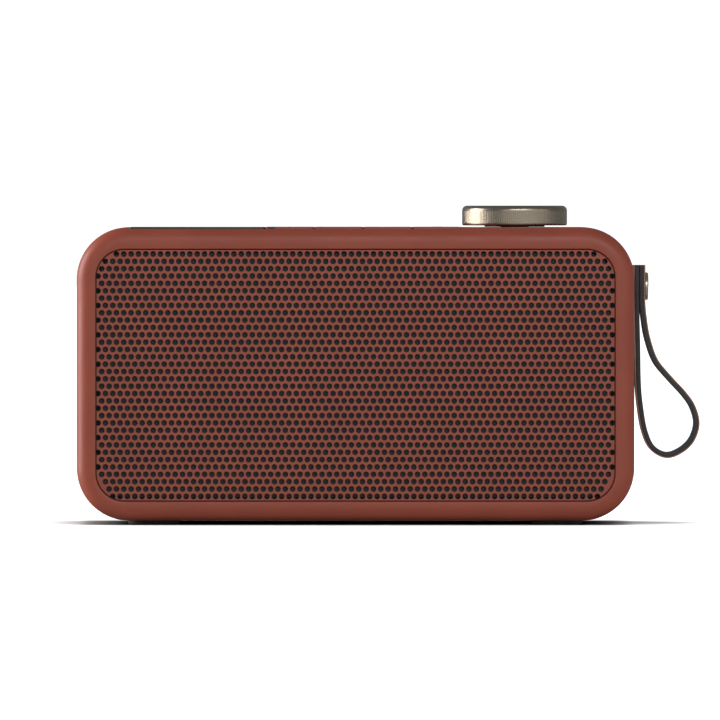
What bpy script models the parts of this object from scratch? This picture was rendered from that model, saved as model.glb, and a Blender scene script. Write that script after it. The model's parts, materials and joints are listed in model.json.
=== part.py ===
"""Portable radio: a rounded case with a perforated front grille, a strip of top controls, a knob that
turns and presses, a carry strap on a stud and a telescopic aerial stowed along the top rear edge.

Frame: +X to the listener's right, -Y towards the listener, +Z up. The origin is the centre of the
case's flat underside. Units are metres.
"""

import math

import bmesh
import bpy
from mathutils import Matrix, Vector

MM = 0.001

# Case
WIDTH, DEPTH, HEIGHT = 190 * MM, 60 * MM, 100 * MM
CORNER = 17.8 * MM
EDGE = 4.5 * MM
WALL = 2.5 * MM
FRONT_WALL = 5 * MM
FRONT, REAR = -DEPTH / 2, DEPTH / 2
PARTING = 20 * MM
MIDDLE = HEIGHT / 2
GAP = 0.3 * MM
PAST = 5 * MM

# Front opening, and what sits in it
OPENING_WIDTH, OPENING_HEIGHT, OPENING_CORNER = 177 * MM, 86 * MM, 9.8 * MM
OPENING_Z = 49.6 * MM
GRILLE_GAP = 0.35 * MM
GRILLE_RECESS = 1.0 * MM
GRILLE_SHEET = 0.8 * MM
GRILLE_DEPTH = 3.6 * MM
CLOTH_THICKNESS = 0.4 * MM
BAFFLE_FLANGE_FRONT = FRONT + FRONT_WALL + GAP
BAFFLE_BACK = BAFFLE_FLANGE_FRONT + WALL

# Drivers and passive radiator
DRIVER_X, DRIVER_Z = 58 * MM, 50 * MM
DRIVER_HOLE = 25.5 * MM
RADIATOR_WIDTH, RADIATOR_HEIGHT = 42 * MM, 66 * MM

# Top controls: a strip, let into the top, that reaches just over the front edge
STRIP_FRONT, STRIP_REAR = -27.3 * MM, 18 * MM
STRIP_CLEARANCE = 0.2 * MM
STRIP_POCKET = 1.8 * MM
STRIP_CORNER = 0.7 * MM
DISPLAY_LEFT, DISPLAY_RIGHT = -77.0 * MM, -31.1 * MM
DISPLAY_CROWN = 0.05 * MM
KEYS = ("power_key", "source_key", "preset_key", "menu_key")
KEY_PITCH = 16.7 * MM
KEY_GAP = 0.4 * MM
KEYS_LEFT = -30.8 * MM
KEY_CROWN = 0.1 * MM
KEY_WELL_FRONT = -18 * MM
BOARD_TOP = 87.6 * MM
BOARD_THICKNESS = 1.6 * MM
SWITCH_HEIGHT = 3.8 * MM
CONTROL_BOSSES = [(x * MM, y * MM) for x in (-79, 40.5, 70) for y in (-12, 9)]

# Knob
KNOB_X = 54.5 * MM
KNOB_RADIUS = 18 * MM
KNOB_BOTTOM, KNOB_TOP = HEIGHT + 0.55 * MM, HEIGHT + 7.35 * MM
KNOB_WALL = 1.4 * MM
COLLAR_RADIUS, COLLAR_NECK = 10.3 * MM, 4.8 * MM
KNOB_HOLE = 5.1 * MM
SHAFT_RADIUS = 3 * MM

# Strap
STRAP_THICKNESS, STRAP_WIDTH = 2.05 * MM, 12 * MM
STUD_Z, STUD_HOLE = 79.7 * MM, 2.1 * MM
STRAP_TOP = 87.0 * MM
STRAP_INNER_X = WIDTH / 2 + 0.1 * MM + STRAP_THICKNESS / 2
STRAP_OUTER_X = STRAP_INNER_X + STRAP_THICKNESS + 0.05 * MM
STUD_SEAT = STRAP_OUTER_X + STRAP_THICKNESS / 2 + 0.1 * MM

# Aerial, stowed in a step along the top rear edge
AERIAL_X, AERIAL_Y, AERIAL_Z = -72 * MM, 26.2 * MM, 94.2 * MM
STEP_FLOOR, STEP_FRONT = 90.4 * MM, 22.5 * MM
SECTION_RADII = [2.6 * MM, 2.2 * MM, 1.8 * MM, 1.4 * MM, 1.0 * MM]
SECTION_WALL = 0.3 * MM

# Rear
SCREW_X, SCREW_ZS = 83 * MM, (17 * MM, 79 * MM)
SCREW_RADIUS, SCREW_HEAD_RADIUS, SCREW_SEAT = 1.5 * MM, 3 * MM, 23 * MM
BOSS_RADIUS, BOSS_START, BORE_START = 3.6 * MM, 5.5 * MM, 7 * MM
STANDOFFS = [(x * MM, z * MM) for x in (-46, 46) for z in (30, 74)]
BOARD_BACK = 15.6 * MM
PORT_Z = 34 * MM
USB_X, AUX_X = -6 * MM, 8.5 * MM

# Feet
FOOT_X, FOOT_Y = 68.9 * MM, 13.5 * MM
FOOT_WIDTH, FOOT_LENGTH, FOOT_CORNER = 17.6 * MM, 10 * MM, 4 * MM
FOOT_DROP, FOOT_POCKET = 1.45 * MM, 1.0 * MM

# Name: base colour, roughness, metallic
FINISHES = {
    "shell_plastic": ((0.27, 0.085, 0.062), 0.45, 0.0),
    "key_plastic": ((0.25, 0.078, 0.057), 0.5, 0.0),
    "grille_steel": ((0.32, 0.085, 0.055), 0.45, 0.2),
    "dark_cloth": ((0.012, 0.014, 0.016), 0.9, 0.0),
    "dark_plastic": ((0.02, 0.02, 0.022), 0.5, 0.0),
    "lens": ((0.01, 0.01, 0.012), 0.1, 0.0),
    "champagne_metal": ((0.42, 0.36, 0.28), 0.3, 1.0),
    "bright_metal": ((0.6, 0.6, 0.6), 0.25, 1.0),
    "magnet": ((0.06, 0.06, 0.065), 0.5, 0.3),
    "paper_cone": ((0.03, 0.03, 0.03), 0.8, 0.0),
    "rubber": ((0.02, 0.02, 0.022), 0.8, 0.0),
    "circuit_board": ((0.01, 0.07, 0.03), 0.5, 0.0),
    "cell_wrap": ((0.03, 0.12, 0.35), 0.4, 0.0),
    "wire": ((0.3, 0.02, 0.02), 0.5, 0.0),
    "strap_leather": ((0.03, 0.028, 0.03), 0.6, 0.0),
}
MATERIALS = {}


# ---------------------------------------------------------------- tools


def clear_scene():
    for obj in list(bpy.data.objects):
        bpy.data.objects.remove(obj, do_unlink=True)


def new_collection(name):
    made = bpy.data.collections.new(name)
    bpy.context.scene.collection.children.link(made)
    return made


def make_materials():
    for name, (colour, roughness, metallic) in FINISHES.items():
        material = bpy.data.materials.new(name)
        material.use_nodes = True
        shader = material.node_tree.nodes["Principled BSDF"]
        shader.inputs["Base Color"].default_value = (*colour, 1)
        shader.inputs["Roughness"].default_value = roughness
        shader.inputs["Metallic"].default_value = metallic
        MATERIALS[name] = material


def place(name, mesh, finish):
    """Makes an object of the mesh: a part with its finish, or a hidden helper where finish is None."""
    obj = bpy.data.objects.new(name, mesh)
    if finish is None:
        helpers.objects.link(obj)
        obj.hide_render = True
        obj.display_type = "WIRE"
    else:
        radio.objects.link(obj)
        mesh.materials.append(MATERIALS[finish])
    return obj


def from_bmesh(name, bm, finish):
    mesh = bpy.data.meshes.new(name)
    bm.to_mesh(mesh)
    bm.free()
    return place(name, mesh, finish)


def block(name, low, high, finish=None):
    """A box between two corners."""
    low, high = Vector(low), Vector(high)
    size = Matrix.Diagonal((*(high - low), 1))
    bm = bmesh.new()
    bmesh.ops.create_cube(bm, size=1, matrix=Matrix.Translation((low + high) / 2) @ size)
    return from_bmesh(name, bm, finish)


def rod(name, radius, start, end, finish=None, sides=24):
    """A cylinder between two points."""
    start, end = Vector(start), Vector(end)
    turn = (end - start).to_track_quat("Z", "Y").to_matrix().to_4x4()
    bm = bmesh.new()
    bmesh.ops.create_cone(
        bm,
        cap_ends=True,
        segments=sides,
        radius1=radius,
        radius2=radius,
        depth=(end - start).length,
        matrix=Matrix.Translation((start + end) / 2) @ turn,
    )
    obj = from_bmesh(name, bm, finish)
    shade(obj)
    return obj


def turned(name, profile, base, axis, finish=None, steps=32, ring=False):
    """A profile of (radius, height) points turned about the axis through base. It runs down its outer
    side, and back up its inner side where it is a ring."""
    mesh = bpy.data.meshes.new(name)
    edges = [(i, i + 1) for i in range(len(profile) - 1)]
    if ring:
        edges.append((len(profile) - 1, 0))
    mesh.from_pydata([(r, 0, h) for r, h in profile], edges, [])
    obj = place(name, mesh, finish)
    obj.location = base
    obj.rotation_euler = Vector(axis).to_track_quat("Z", "Y").to_euler()
    screw = obj.modifiers.new("turn", "SCREW")
    screw.axis = "Z"
    screw.steps = screw.render_steps = steps
    screw.use_merge_vertices = not ring
    screw.merge_threshold = 0.00001
    weld = obj.modifiers.new("weld", "WELD")
    weld.merge_threshold = 0.000001
    return obj


def outline_solid(name, points, low, high, along, finish=None):
    """A flat outline given thickness from low to high. Along Y its points are (x, z), along Z (x, y)."""
    curve = bpy.data.curves.new(name, "CURVE")
    curve.dimensions = "2D"
    curve.fill_mode = "BOTH"
    curve.extrude = (high - low) / 2
    spline = curve.splines.new("POLY")
    spline.points.add(len(points) - 1)
    for point, (u, v) in zip(spline.points, points):
        point.co = (u, v, 0, 1)
    spline.use_cyclic_u = True
    guide = bpy.data.objects.new(name + "_outline", curve)
    helpers.objects.link(guide)
    graph = bpy.context.evaluated_depsgraph_get()
    mesh = bpy.data.meshes.new_from_object(guide.evaluated_get(graph))
    bpy.data.objects.remove(guide)
    bm = bmesh.new()
    bm.from_mesh(mesh)
    bmesh.ops.remove_doubles(bm, verts=bm.verts, dist=0.000001)
    bmesh.ops.dissolve_limit(bm, angle_limit=math.radians(0.5), verts=bm.verts, edges=bm.edges)
    bmesh.ops.recalc_face_normals(bm, faces=bm.faces)
    centre = (low + high) / 2
    if along == "Y":
        matrix = Matrix.Translation((0, centre, 0)) @ Matrix.Rotation(math.pi / 2, 4, "X")
    else:
        matrix = Matrix.Translation((0, 0, centre))
    bmesh.ops.transform(bm, matrix=matrix, verts=bm.verts)
    bm.to_mesh(mesh)
    bm.free()
    return place(name, mesh, finish)


def tube(name, points, radius, finish):
    """A wire of that radius along the points."""
    curve = bpy.data.curves.new(name, "CURVE")
    curve.dimensions = "3D"
    curve.bevel_depth = radius
    curve.bevel_resolution = 1
    curve.use_fill_caps = True
    curve.materials.append(MATERIALS[finish])
    spline = curve.splines.new("POLY")
    spline.points.add(len(points) - 1)
    for point, place_of in zip(spline.points, points):
        point.co = (*place_of, 1)
    obj = bpy.data.objects.new(name, curve)
    radio.objects.link(obj)
    return obj


def rounded_rectangle(width, height, radius, centre=(0, 0), arc_steps=6):
    points = []
    for corner in range(4):
        side = 1 if corner in (0, 3) else -1
        level = 1 if corner in (0, 1) else -1
        x = centre[0] + side * (width / 2 - radius)
        y = centre[1] + level * (height / 2 - radius)
        for step in range(arc_steps + 1):
            angle = (corner + step / arc_steps) * math.pi / 2
            points.append((x + radius * math.cos(angle), y + radius * math.sin(angle)))
    return points


def arc(centre_r, centre_h, radius, start, end, steps):
    """Profile points on an arc, its angles in degrees from the outward direction."""
    angles = [math.radians(start + (end - start) * i / steps) for i in range(steps + 1)]
    return [(centre_r + radius * math.cos(a), centre_h + radius * math.sin(a)) for a in angles]


def smooth(points, steps):
    """A Catmull-Rom curve through the points, with that many steps between each pair."""
    vectors = [Vector(p) for p in points]
    padded = [2 * vectors[0] - vectors[1], *vectors, 2 * vectors[-1] - vectors[-2]]
    found = []
    for before, start, end, after in zip(padded, padded[1:], padded[2:], padded[3:]):
        for step in range(steps):
            t = step / steps
            found.append(
                0.5
                * (
                    2 * start
                    + (end - before) * t
                    + (2 * before - 5 * start + 4 * end - after) * t**2
                    + (3 * start - before - 3 * end + after) * t**3
                )
            )
    return [*found, vectors[-1]]


def round_edges(obj, width, segments=2):
    bevel = obj.modifiers.new("round", "BEVEL")
    bevel.width = width
    bevel.segments = segments
    bevel.limit_method = "ANGLE"
    bevel.angle_limit = math.radians(50)
    bevel.use_clamp_overlap = False


def combine(obj, operation, others):
    for other in others:
        boolean = obj.modifiers.new(operation.lower(), "BOOLEAN")
        boolean.operation = operation
        boolean.object = other


def cut(obj, *cutters):
    combine(obj, "DIFFERENCE", cutters)


def join(obj, *pieces):
    combine(obj, "UNION", pieces)


def shade(obj):
    obj.data.shade_smooth()
    obj.data.set_sharp_from_angle(angle=math.radians(35))


# ---------------------------------------------------------------- case


def case_block(name, finish):
    """The whole case's outside as one solid, with its rounded corners and edges."""
    outline = rounded_rectangle(WIDTH, HEIGHT, CORNER, (0, MIDDLE), arc_steps=8)
    case = outline_solid(name, outline, FRONT, REAR, "Y", finish)
    round_edges(case, EDGE, segments=4)
    return case


def screw_places():
    return [(side * SCREW_X, z) for z in SCREW_ZS for side in (-1, 1)]


def foot_places():
    return [(side * FOOT_X, end * FOOT_Y) for end in (-1, 1) for side in (-1, 1)]


def front_opening(name, inset, low, high, finish=None, arc_steps=6):
    """The outline of the front opening, made smaller by inset, between two depths."""
    outline = rounded_rectangle(
        OPENING_WIDTH - 2 * inset,
        OPENING_HEIGHT - 2 * inset,
        OPENING_CORNER - inset,
        (0, OPENING_Z),
        arc_steps,
    )
    return outline_solid(name, outline, low, high, "Y", finish)


def main_housing():
    case = case_block("main_housing", "shell_plastic")
    behind = block("cut_rear", (-WIDTH, PARTING, -HEIGHT), (WIDTH, DEPTH, 2 * HEIGHT))
    inside = rounded_rectangle(
        WIDTH - 2 * WALL, HEIGHT - 2 * WALL, CORNER - WALL, (0, MIDDLE), arc_steps=6
    )
    cavity = outline_solid("cut_cavity", inside, FRONT + FRONT_WALL, DEPTH, "Y")
    opening = front_opening("cut_opening", 0, FRONT - PAST, FRONT + FRONT_WALL + PAST)
    cut(case, behind, cavity, opening)
    for number, (x, z) in enumerate(screw_places(), 1):
        boss_end = (x, PARTING, z)
        boss = rod(f"boss_{number}", BOSS_RADIUS, (x, BOSS_START, z), boss_end, sides=16)
        reach = math.copysign(WIDTH / 2 - WALL / 2, x)
        web = block(
            f"boss_web_{number}",
            (min(x, reach), BOSS_START + MM, z - MM),
            (max(x, reach), PARTING - MM, z + MM),
        )
        join(case, boss, web)
    for number, (x, z) in enumerate(screw_places(), 1):
        start, end = (x, BORE_START, z), (x, PARTING + PAST, z)
        cut(case, rod(f"cut_boss_{number}", SCREW_RADIUS + GAP, start, end, sides=12))
    for number, (x, y) in enumerate(CONTROL_BOSSES, 1):
        top = HEIGHT - WALL / 2
        hanger = rod(f"hanger_{number}", 2 * MM, (x, y, BOARD_TOP + GAP), (x, y, top), sides=12)
        join(case, hanger)
    cut(case, *top_cutters(), stud_hole("cut_case_side"), *foot_pockets())
    return case


def strip_outline(left, right, front, margin, corner):
    """Part of the control strip as seen from above, made larger all round by margin."""
    width, depth = right - left, STRIP_REAR - front
    centre = ((left + right) / 2, (front + STRIP_REAR) / 2)
    return rounded_rectangle(width + 2 * margin, depth + 2 * margin, corner, centre, 3)


def top_cutters():
    """The control strip's pocket, the display's window, the keys' well and the knob's hole."""
    keys_right = KEYS_LEFT + len(KEYS) * KEY_PITCH
    above = HEIGHT + PAST
    corner = STRIP_CORNER + STRIP_CLEARANCE
    pocket = outline_solid(
        "cut_strip",
        strip_outline(DISPLAY_LEFT, keys_right, STRIP_FRONT, STRIP_CLEARANCE, corner),
        HEIGHT - STRIP_POCKET,
        above,
        "Z",
    )
    window = outline_solid(
        "cut_display_window",
        strip_outline(DISPLAY_LEFT, DISPLAY_RIGHT, KEY_WELL_FRONT, -2.5 * MM, 1 * MM),
        HEIGHT - PAST,
        above,
        "Z",
    )
    well = outline_solid(
        "cut_keys",
        strip_outline(KEYS_LEFT, keys_right, KEY_WELL_FRONT, STRIP_CLEARANCE, corner),
        HEIGHT - PAST,
        above,
        "Z",
    )
    knob_hole = rod("cut_knob", KNOB_HOLE, (KNOB_X, 0, HEIGHT - PAST), (KNOB_X, 0, above))
    return [pocket, window, well, knob_hole]


def stud_hole(name):
    start, end = (WIDTH / 2 - 2 * PAST, 0, STUD_Z), (WIDTH / 2 + 2 * PAST, 0, STUD_Z)
    return rod(name, STUD_HOLE, start, end, sides=16)


def foot_pad(name, centre, margin, low, high, finish=None):
    width, length = FOOT_WIDTH + 2 * margin, FOOT_LENGTH + 2 * margin
    outline = rounded_rectangle(width, length, FOOT_CORNER + margin, centre, arc_steps=4)
    return outline_solid(name, outline, low, high, "Z", finish)


def foot_pockets():
    return [
        foot_pad(f"cut_foot_{number}", centre, GAP, -PAST, FOOT_POCKET)
        for number, centre in enumerate(foot_places(), 1)
    ]


def rear_cover():
    cover = case_block("rear_cover", "shell_plastic")
    joint = PARTING + GAP
    ahead = block("cut_front", (-WIDTH, -DEPTH, -HEIGHT), (WIDTH, joint, 2 * HEIGHT))
    ceiling = STEP_FLOOR - 2.2 * MM
    inside = rounded_rectangle(
        WIDTH - 2 * WALL, ceiling - WALL, CORNER - WALL, (0, (ceiling + WALL) / 2), 6
    )
    cavity = outline_solid("cut_rear_cavity", inside, 0, REAR - WALL, "Y")
    cut(cover, ahead, cavity)
    end = REAR - WALL / 2
    for number, (x, z) in enumerate(screw_places(), 1):
        join(cover, rod(f"post_{number}", 5 * MM, (x, joint, z), (x, end, z), sides=20))
    for number, (x, z) in enumerate(STANDOFFS, 1):
        start = (x, BOARD_BACK + GAP, z)
        join(cover, rod(f"standoff_{number}", 2.5 * MM, start, (x, end, z), sides=12))
    for number, (x, z) in enumerate(screw_places(), 1):
        head = rod(
            f"cut_head_{number}", SCREW_HEAD_RADIUS + 0.4 * MM, (x, SCREW_SEAT, z), (x, DEPTH, z)
        )
        shank = rod(f"cut_shank_{number}", SCREW_RADIUS + GAP, (x, 0, z), (x, DEPTH, z), sides=12)
        cut(cover, head, shank)
    step = block("cut_step", (-WIDTH, STEP_FRONT, STEP_FLOOR), (WIDTH, DEPTH, HEIGHT + PAST))
    pivot = rod(
        "cut_pivot",
        1.9 * MM,
        (AERIAL_X, 0, AERIAL_Z),
        (AERIAL_X, STEP_FRONT + PAST, AERIAL_Z),
        sides=16,
    )
    window = outline_solid(
        "cut_port_window",
        rounded_rectangle(30 * MM, 14 * MM, 2.3 * MM, (0, PORT_Z), 3),
        PARTING,
        DEPTH,
        "Y",
    )
    cut(cover, step, pivot, window)
    return cover


def feet():
    names = ("foot_front_left", "foot_front_right", "foot_rear_left", "foot_rear_right")
    for name, centre in zip(names, foot_places()):
        foot = foot_pad(name, centre, 0, -FOOT_DROP, FOOT_POCKET - GAP, "rubber")
        round_edges(foot, 0.5 * MM, segments=1)


def rear_screws():
    """Pan-head screws with a cross recess."""
    profile = [
        (0, 2.0 * MM),
        (2.2 * MM, 2.0 * MM),
        (SCREW_HEAD_RADIUS, 1.2 * MM),
        (SCREW_HEAD_RADIUS, 0),
        (SCREW_RADIUS, 0),
        (SCREW_RADIUS, -14 * MM),
        (0, -15 * MM),
    ]
    seat = SCREW_SEAT + 0.1 * MM
    for number, (x, z) in enumerate(screw_places(), 1):
        screw = turned(
            f"rear_screw_{number}", profile, (x, seat, z), (0, 1, 0), "bright_metal", steps=12
        )
        top, bottom, long, short = seat + 3 * MM, seat + 1.0 * MM, 1.7 * MM, 0.35 * MM
        for label, half_x, half_z in (("a", long, short), ("b", short, long)):
            slot = block(
                f"cut_cross_{number}{label}",
                (x - half_x, bottom, z - half_z),
                (x + half_x, top, z + half_z),
            )
            cut(screw, slot)


# ---------------------------------------------------------------- front


def front_grille():
    """A sheet pressed into a shallow pan. Its rim stands on the baffle."""
    front = FRONT + GRILLE_RECESS
    pan = front_opening("front_grille", GRILLE_GAP, front, front + GRILLE_DEPTH, "grille_steel")
    round_edges(pan, 0.4 * MM, segments=1)
    inset = GRILLE_GAP + GRILLE_SHEET
    hollow = front_opening("cut_pan", inset, front + GRILLE_SHEET, front + GRILLE_DEPTH + PAST)
    cut(pan, hollow)


def grille_cloth():
    front = FRONT + GRILLE_RECESS + GRILLE_SHEET + GAP
    inset = GRILLE_GAP + GRILLE_SHEET + GAP
    front_opening("grille_cloth", inset, front, front + CLOTH_THICKNESS, "dark_cloth", 4)


def radiator_outline(inset, arc_steps=6):
    width, height = RADIATOR_WIDTH - 2 * inset, RADIATOR_HEIGHT - 2 * inset
    return rounded_rectangle(width, height, width / 2 - 1 * MM, (0, MIDDLE), arc_steps)


def speaker_baffle():
    cloth_back = FRONT + GRILLE_RECESS + GRILLE_SHEET + GAP + CLOTH_THICKNESS
    inset = GRILLE_GAP + GRILLE_SHEET + GAP
    baffle = front_opening(
        "speaker_baffle", inset, cloth_back + GAP, BAFFLE_BACK, "dark_plastic", 4
    )
    edge = 1 * MM
    outline = rounded_rectangle(
        WIDTH - 2 * (WALL + edge), HEIGHT - 2 * (WALL + edge), CORNER - WALL - edge, (0, MIDDLE), 6
    )
    join(baffle, outline_solid("baffle_flange", outline, BAFFLE_FLANGE_FRONT, BAFFLE_BACK, "Y"))
    for side in (-1, 1):
        x = side * DRIVER_X
        hole = rod(f"cut_driver_{side}", DRIVER_HOLE, (x, FRONT, DRIVER_Z), (x, 0, DRIVER_Z))
        cut(baffle, hole)
    cut(baffle, outline_solid("cut_radiator", radiator_outline(0), FRONT, 0, "Y"))


def driver(side, label):
    """One full-range driver: basket, magnet, cone with its dust cap, and half-roll surround. Heights
    are behind the front of the basket's flange."""
    base, axis = (side * DRIVER_X, BAFFLE_BACK + GAP, DRIVER_Z), (0, 1, 0)
    basket = [(12, 15), (17, 15), (17, 12), (27, 2), (29, 2), (29, 0), (24, 0), (24, 1.2)]
    basket += [(15.8, 11), (15.8, 13.6), (12, 13.6)]
    magnet = [(0, 23), (15, 23), (16, 22), (16, 15.3), (0, 15.3)]
    cone = [(0, 7.2), (7.5, 8.8), (20.2, 0.3), (20.2, -0.5), (8.2, 7.6), (4.5, 5.4), (0, 4.6)]
    rim_back, rim_front, roll_centre = -0.3, -0.9, 22.4
    surround = [(25.2, rim_back), (25.2, rim_front)]
    surround += arc(roll_centre, rim_front, 1.6, 0, -180, 4)
    surround += [(20.5, rim_front), (20.5, rim_back)]
    surround += arc(roll_centre, rim_back - 0.2, 1.1, 180, 360, 4)
    pieces = (
        ("basket", basket, "dark_plastic", True, 24),
        ("magnet", magnet, "magnet", False, 24),
        ("cone", cone, "paper_cone", False, 24),
        ("surround", surround, "rubber", True, 24),
    )
    for name, profile, finish, ring, steps in pieces:
        scaled = [(r * MM, h * MM) for r, h in profile]
        turned(f"{label}_{name}", scaled, base, axis, finish, steps, ring)


def passive_radiator():
    back = BAFFLE_BACK - GAP
    surround = outline_solid(
        "radiator_surround", radiator_outline(GAP), back - 1 * MM, back, "Y", "rubber"
    )
    cut(surround, outline_solid("cut_plate", radiator_outline(4.5 * MM), FRONT, 0, "Y"))
    outline_solid(
        "radiator_plate", radiator_outline(4.8 * MM), back - 2 * MM, back, "Y", "magnet"
    )


# ---------------------------------------------------------------- top controls


def display():
    outline = strip_outline(DISPLAY_LEFT, DISPLAY_RIGHT, STRIP_FRONT, 0, STRIP_CORNER)
    low, high = HEIGHT - STRIP_POCKET + GAP, HEIGHT + DISPLAY_CROWN
    lens = outline_solid("display_window", outline, low, high, "Z", "lens")
    round_edges(lens, 0.2 * MM, segments=1)
    x, half_x, half_y = (DISPLAY_LEFT + DISPLAY_RIGHT) / 2, 21 * MM, 16 * MM
    top = HEIGHT - WALL - GAP
    corner_low, corner_high = (x - half_x, -half_y, top - 4 * MM), (x + half_x, half_y, top)
    block("display_module", corner_low, corner_high, "magnet")


def key_centres():
    return [KEYS_LEFT + (i + 0.5) * KEY_PITCH for i in range(len(KEYS))]


def keys():
    """Each key has a plate that lies in the strip, a body in the well with a flange that keeps it in
    the case, and a stem over its switch."""
    flange_top = HEIGHT - WALL - 0.5 * MM
    flange_bottom = flange_top - 1.5 * MM
    plate_bottom = HEIGHT - STRIP_POCKET + 0.5 * MM
    half = (KEY_PITCH - KEY_GAP) / 2
    inner_half = half - 0.3 * MM
    flange_front, flange_rear = KEY_WELL_FRONT - 1.4 * MM, STRIP_REAR + 1.4 * MM
    switch_top = BOARD_TOP + GAP + SWITCH_HEIGHT
    for name, x in zip(KEYS, key_centres()):
        outline = strip_outline(x - half, x + half, STRIP_FRONT, 0, STRIP_CORNER)
        key = outline_solid(name, outline, plate_bottom, HEIGHT + KEY_CROWN, "Z", "key_plastic")
        round_edges(key, 0.25 * MM, segments=1)
        body = block(
            name + "_body",
            (x - inner_half, KEY_WELL_FRONT, flange_bottom + MM),
            (x + inner_half, STRIP_REAR - GAP, plate_bottom + 0.7 * MM),
        )
        flange = block(
            name + "_flange",
            (x - inner_half + GAP, flange_front, flange_bottom),
            (x + inner_half - GAP, flange_rear, flange_top),
        )
        stem_low, stem_high = (x, 0, switch_top + 0.5 * MM), (x, 0, flange_top)
        join(key, body, flange, rod(name + "_stem", 1.6 * MM, stem_low, stem_high, sides=12))


def switches():
    """A small press switch on the control board under each key."""
    bottom = BOARD_TOP + GAP
    for name, x in zip(KEYS, key_centres()):
        label = name.replace("_key", "_switch")
        body = block(
            label, (x - 3 * MM, -3 * MM, bottom), (x + 3 * MM, 3 * MM, bottom + 3 * MM), "magnet"
        )
        low, high = (x, 0, bottom + 2 * MM), (x, 0, bottom + SWITCH_HEIGHT)
        join(body, rod(label + "_top", 1.7 * MM, low, high, sides=12))


def control_board():
    low, high = BOARD_TOP - BOARD_THICKNESS, BOARD_TOP
    corner_low, corner_high = (-82 * MM, -15 * MM, low), (74 * MM, 12 * MM, high)
    block("control_board", corner_low, corner_high, "circuit_board")


def knob():
    """The knob's metal cap over a plastic insert, on the shaft of a push encoder."""
    centre, up = (KNOB_X, 0, 0), (0, 0, 1)
    edge, inner = 1.7 * MM, KNOB_RADIUS - KNOB_WALL
    ceiling = KNOB_TOP - KNOB_WALL
    cap = [(0, KNOB_TOP)]
    cap += arc(KNOB_RADIUS - edge, KNOB_TOP - edge, edge, 90, 0, 3)
    cap += [(KNOB_RADIUS, KNOB_BOTTOM + 0.6 * MM), (KNOB_RADIUS - 0.6 * MM, KNOB_BOTTOM)]
    cap += [(inner, KNOB_BOTTOM), (inner, ceiling), (0, ceiling)]
    turned("knob_cap", cap, centre, up, "champagne_metal", steps=48)
    insert_top, insert_low = ceiling - GAP, HEIGHT + 2.4 * MM
    bore, bore_top = SHAFT_RADIUS + 0.15 * MM, HEIGHT + 5.0 * MM
    insert = [(0, insert_top), (inner - GAP, insert_top), (inner - GAP, insert_low)]
    insert += [(bore, insert_low), (bore, bore_top), (0, bore_top)]
    turned("knob_insert", insert, centre, up, "dark_plastic", steps=32)
    collar_top, seat, neck_end = HEIGHT + 1.6 * MM, HEIGHT + 0.1 * MM, HEIGHT - 2.4 * MM
    neck_bore = COLLAR_NECK - 0.8 * MM
    collar = [(COLLAR_RADIUS, collar_top), (COLLAR_RADIUS, seat), (COLLAR_NECK, seat)]
    collar += [(COLLAR_NECK, neck_end), (neck_bore, neck_end), (neck_bore, collar_top)]
    turned("knob_collar", collar, centre, up, "champagne_metal", steps=28, ring=True)


def encoder():
    """A push encoder: its body and threaded neck, the turning shaft, and the plunger under it."""
    bottom = BOARD_TOP + GAP
    top, neck_top = bottom + 6.3 * MM, HEIGHT - 1.2 * MM
    body = block(
        "encoder_body",
        (KNOB_X - 6.5 * MM, -6.5 * MM, bottom),
        (KNOB_X + 6.5 * MM, 6.5 * MM, top),
        "bright_metal",
    )
    join(body, rod("encoder_neck", 3.7 * MM, (KNOB_X, 0, top - MM), (KNOB_X, 0, neck_top)))
    floor, chamber = bottom + 0.6 * MM, bottom + 3.6 * MM
    bore = SHAFT_RADIUS + 0.25 * MM
    hollow = [(0, HEIGHT + PAST), (bore, HEIGHT + PAST), (bore, chamber), (4.6 * MM, chamber)]
    hollow += [(4.6 * MM, floor), (0, floor)]
    cut(body, turned("cut_encoder", hollow, (KNOB_X, 0, 0), (0, 0, 1), steps=24))
    plunger_low, plunger_top = floor + 0.6 * MM, floor + 1.4 * MM
    rod(
        "encoder_plunger",
        4.2 * MM,
        (KNOB_X, 0, plunger_low),
        (KNOB_X, 0, plunger_top),
        "dark_plastic",
    )
    shaft = rod(
        "encoder_shaft",
        SHAFT_RADIUS,
        (KNOB_X, 0, plunger_top + 0.2 * MM),
        (KNOB_X, 0, HEIGHT + 4.8 * MM),
        "bright_metal",
    )
    flat = block(
        "cut_flat",
        (KNOB_X - PAST, -PAST, HEIGHT + 2 * MM),
        (KNOB_X + PAST, -2.3 * MM, HEIGHT + PAST),
    )
    cut(shaft, flat)


# ---------------------------------------------------------------- inside


def main_board():
    """The radio's board, with its tuner module, amplifier and a connector."""
    front, back, low, high = BOARD_BACK - BOARD_THICKNESS, BOARD_BACK, 26 * MM, 78 * MM
    board = block("main_board", (-50 * MM, front, low), (50 * MM, back, high), "circuit_board")
    parts = (
        ("tuner", (-44, 12, 48), (-22, 14.5, 72)),
        ("amplifier", (8, 12.6, 54), (20, 14.5, 66)),
        ("connector", (28, 10, 62), (42, 14.5, 67)),
    )
    for name, corner_low, corner_high in parts:
        low_corner = [c * MM for c in corner_low]
        high_corner = [c * MM for c in corner_high]
        join(board, block(f"board_{name}", low_corner, high_corner))


def battery():
    """Two cells end to end in a cradle on the case's floor."""
    y, z, radius, length = 9 * MM, 13.5 * MM, 9.2 * MM, 65 * MM
    for number, side in ((1, -1), (2, 1)):
        near, far = side * 1.5 * MM, side * (1.5 * MM + length)
        rod(f"battery_cell_{number}", radius, (near, y, z), (far, y, z), "cell_wrap", sides=24)
    cradle = block(
        "battery_holder",
        (-71 * MM, y - 10 * MM, WALL + 0.4 * MM),
        (71 * MM, y + 10 * MM, 12 * MM),
        "dark_plastic",
    )
    end = 69 * MM
    cut(cradle, rod("cut_cradle", radius + GAP, (-end, y, z), (end, y, z)))


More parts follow.
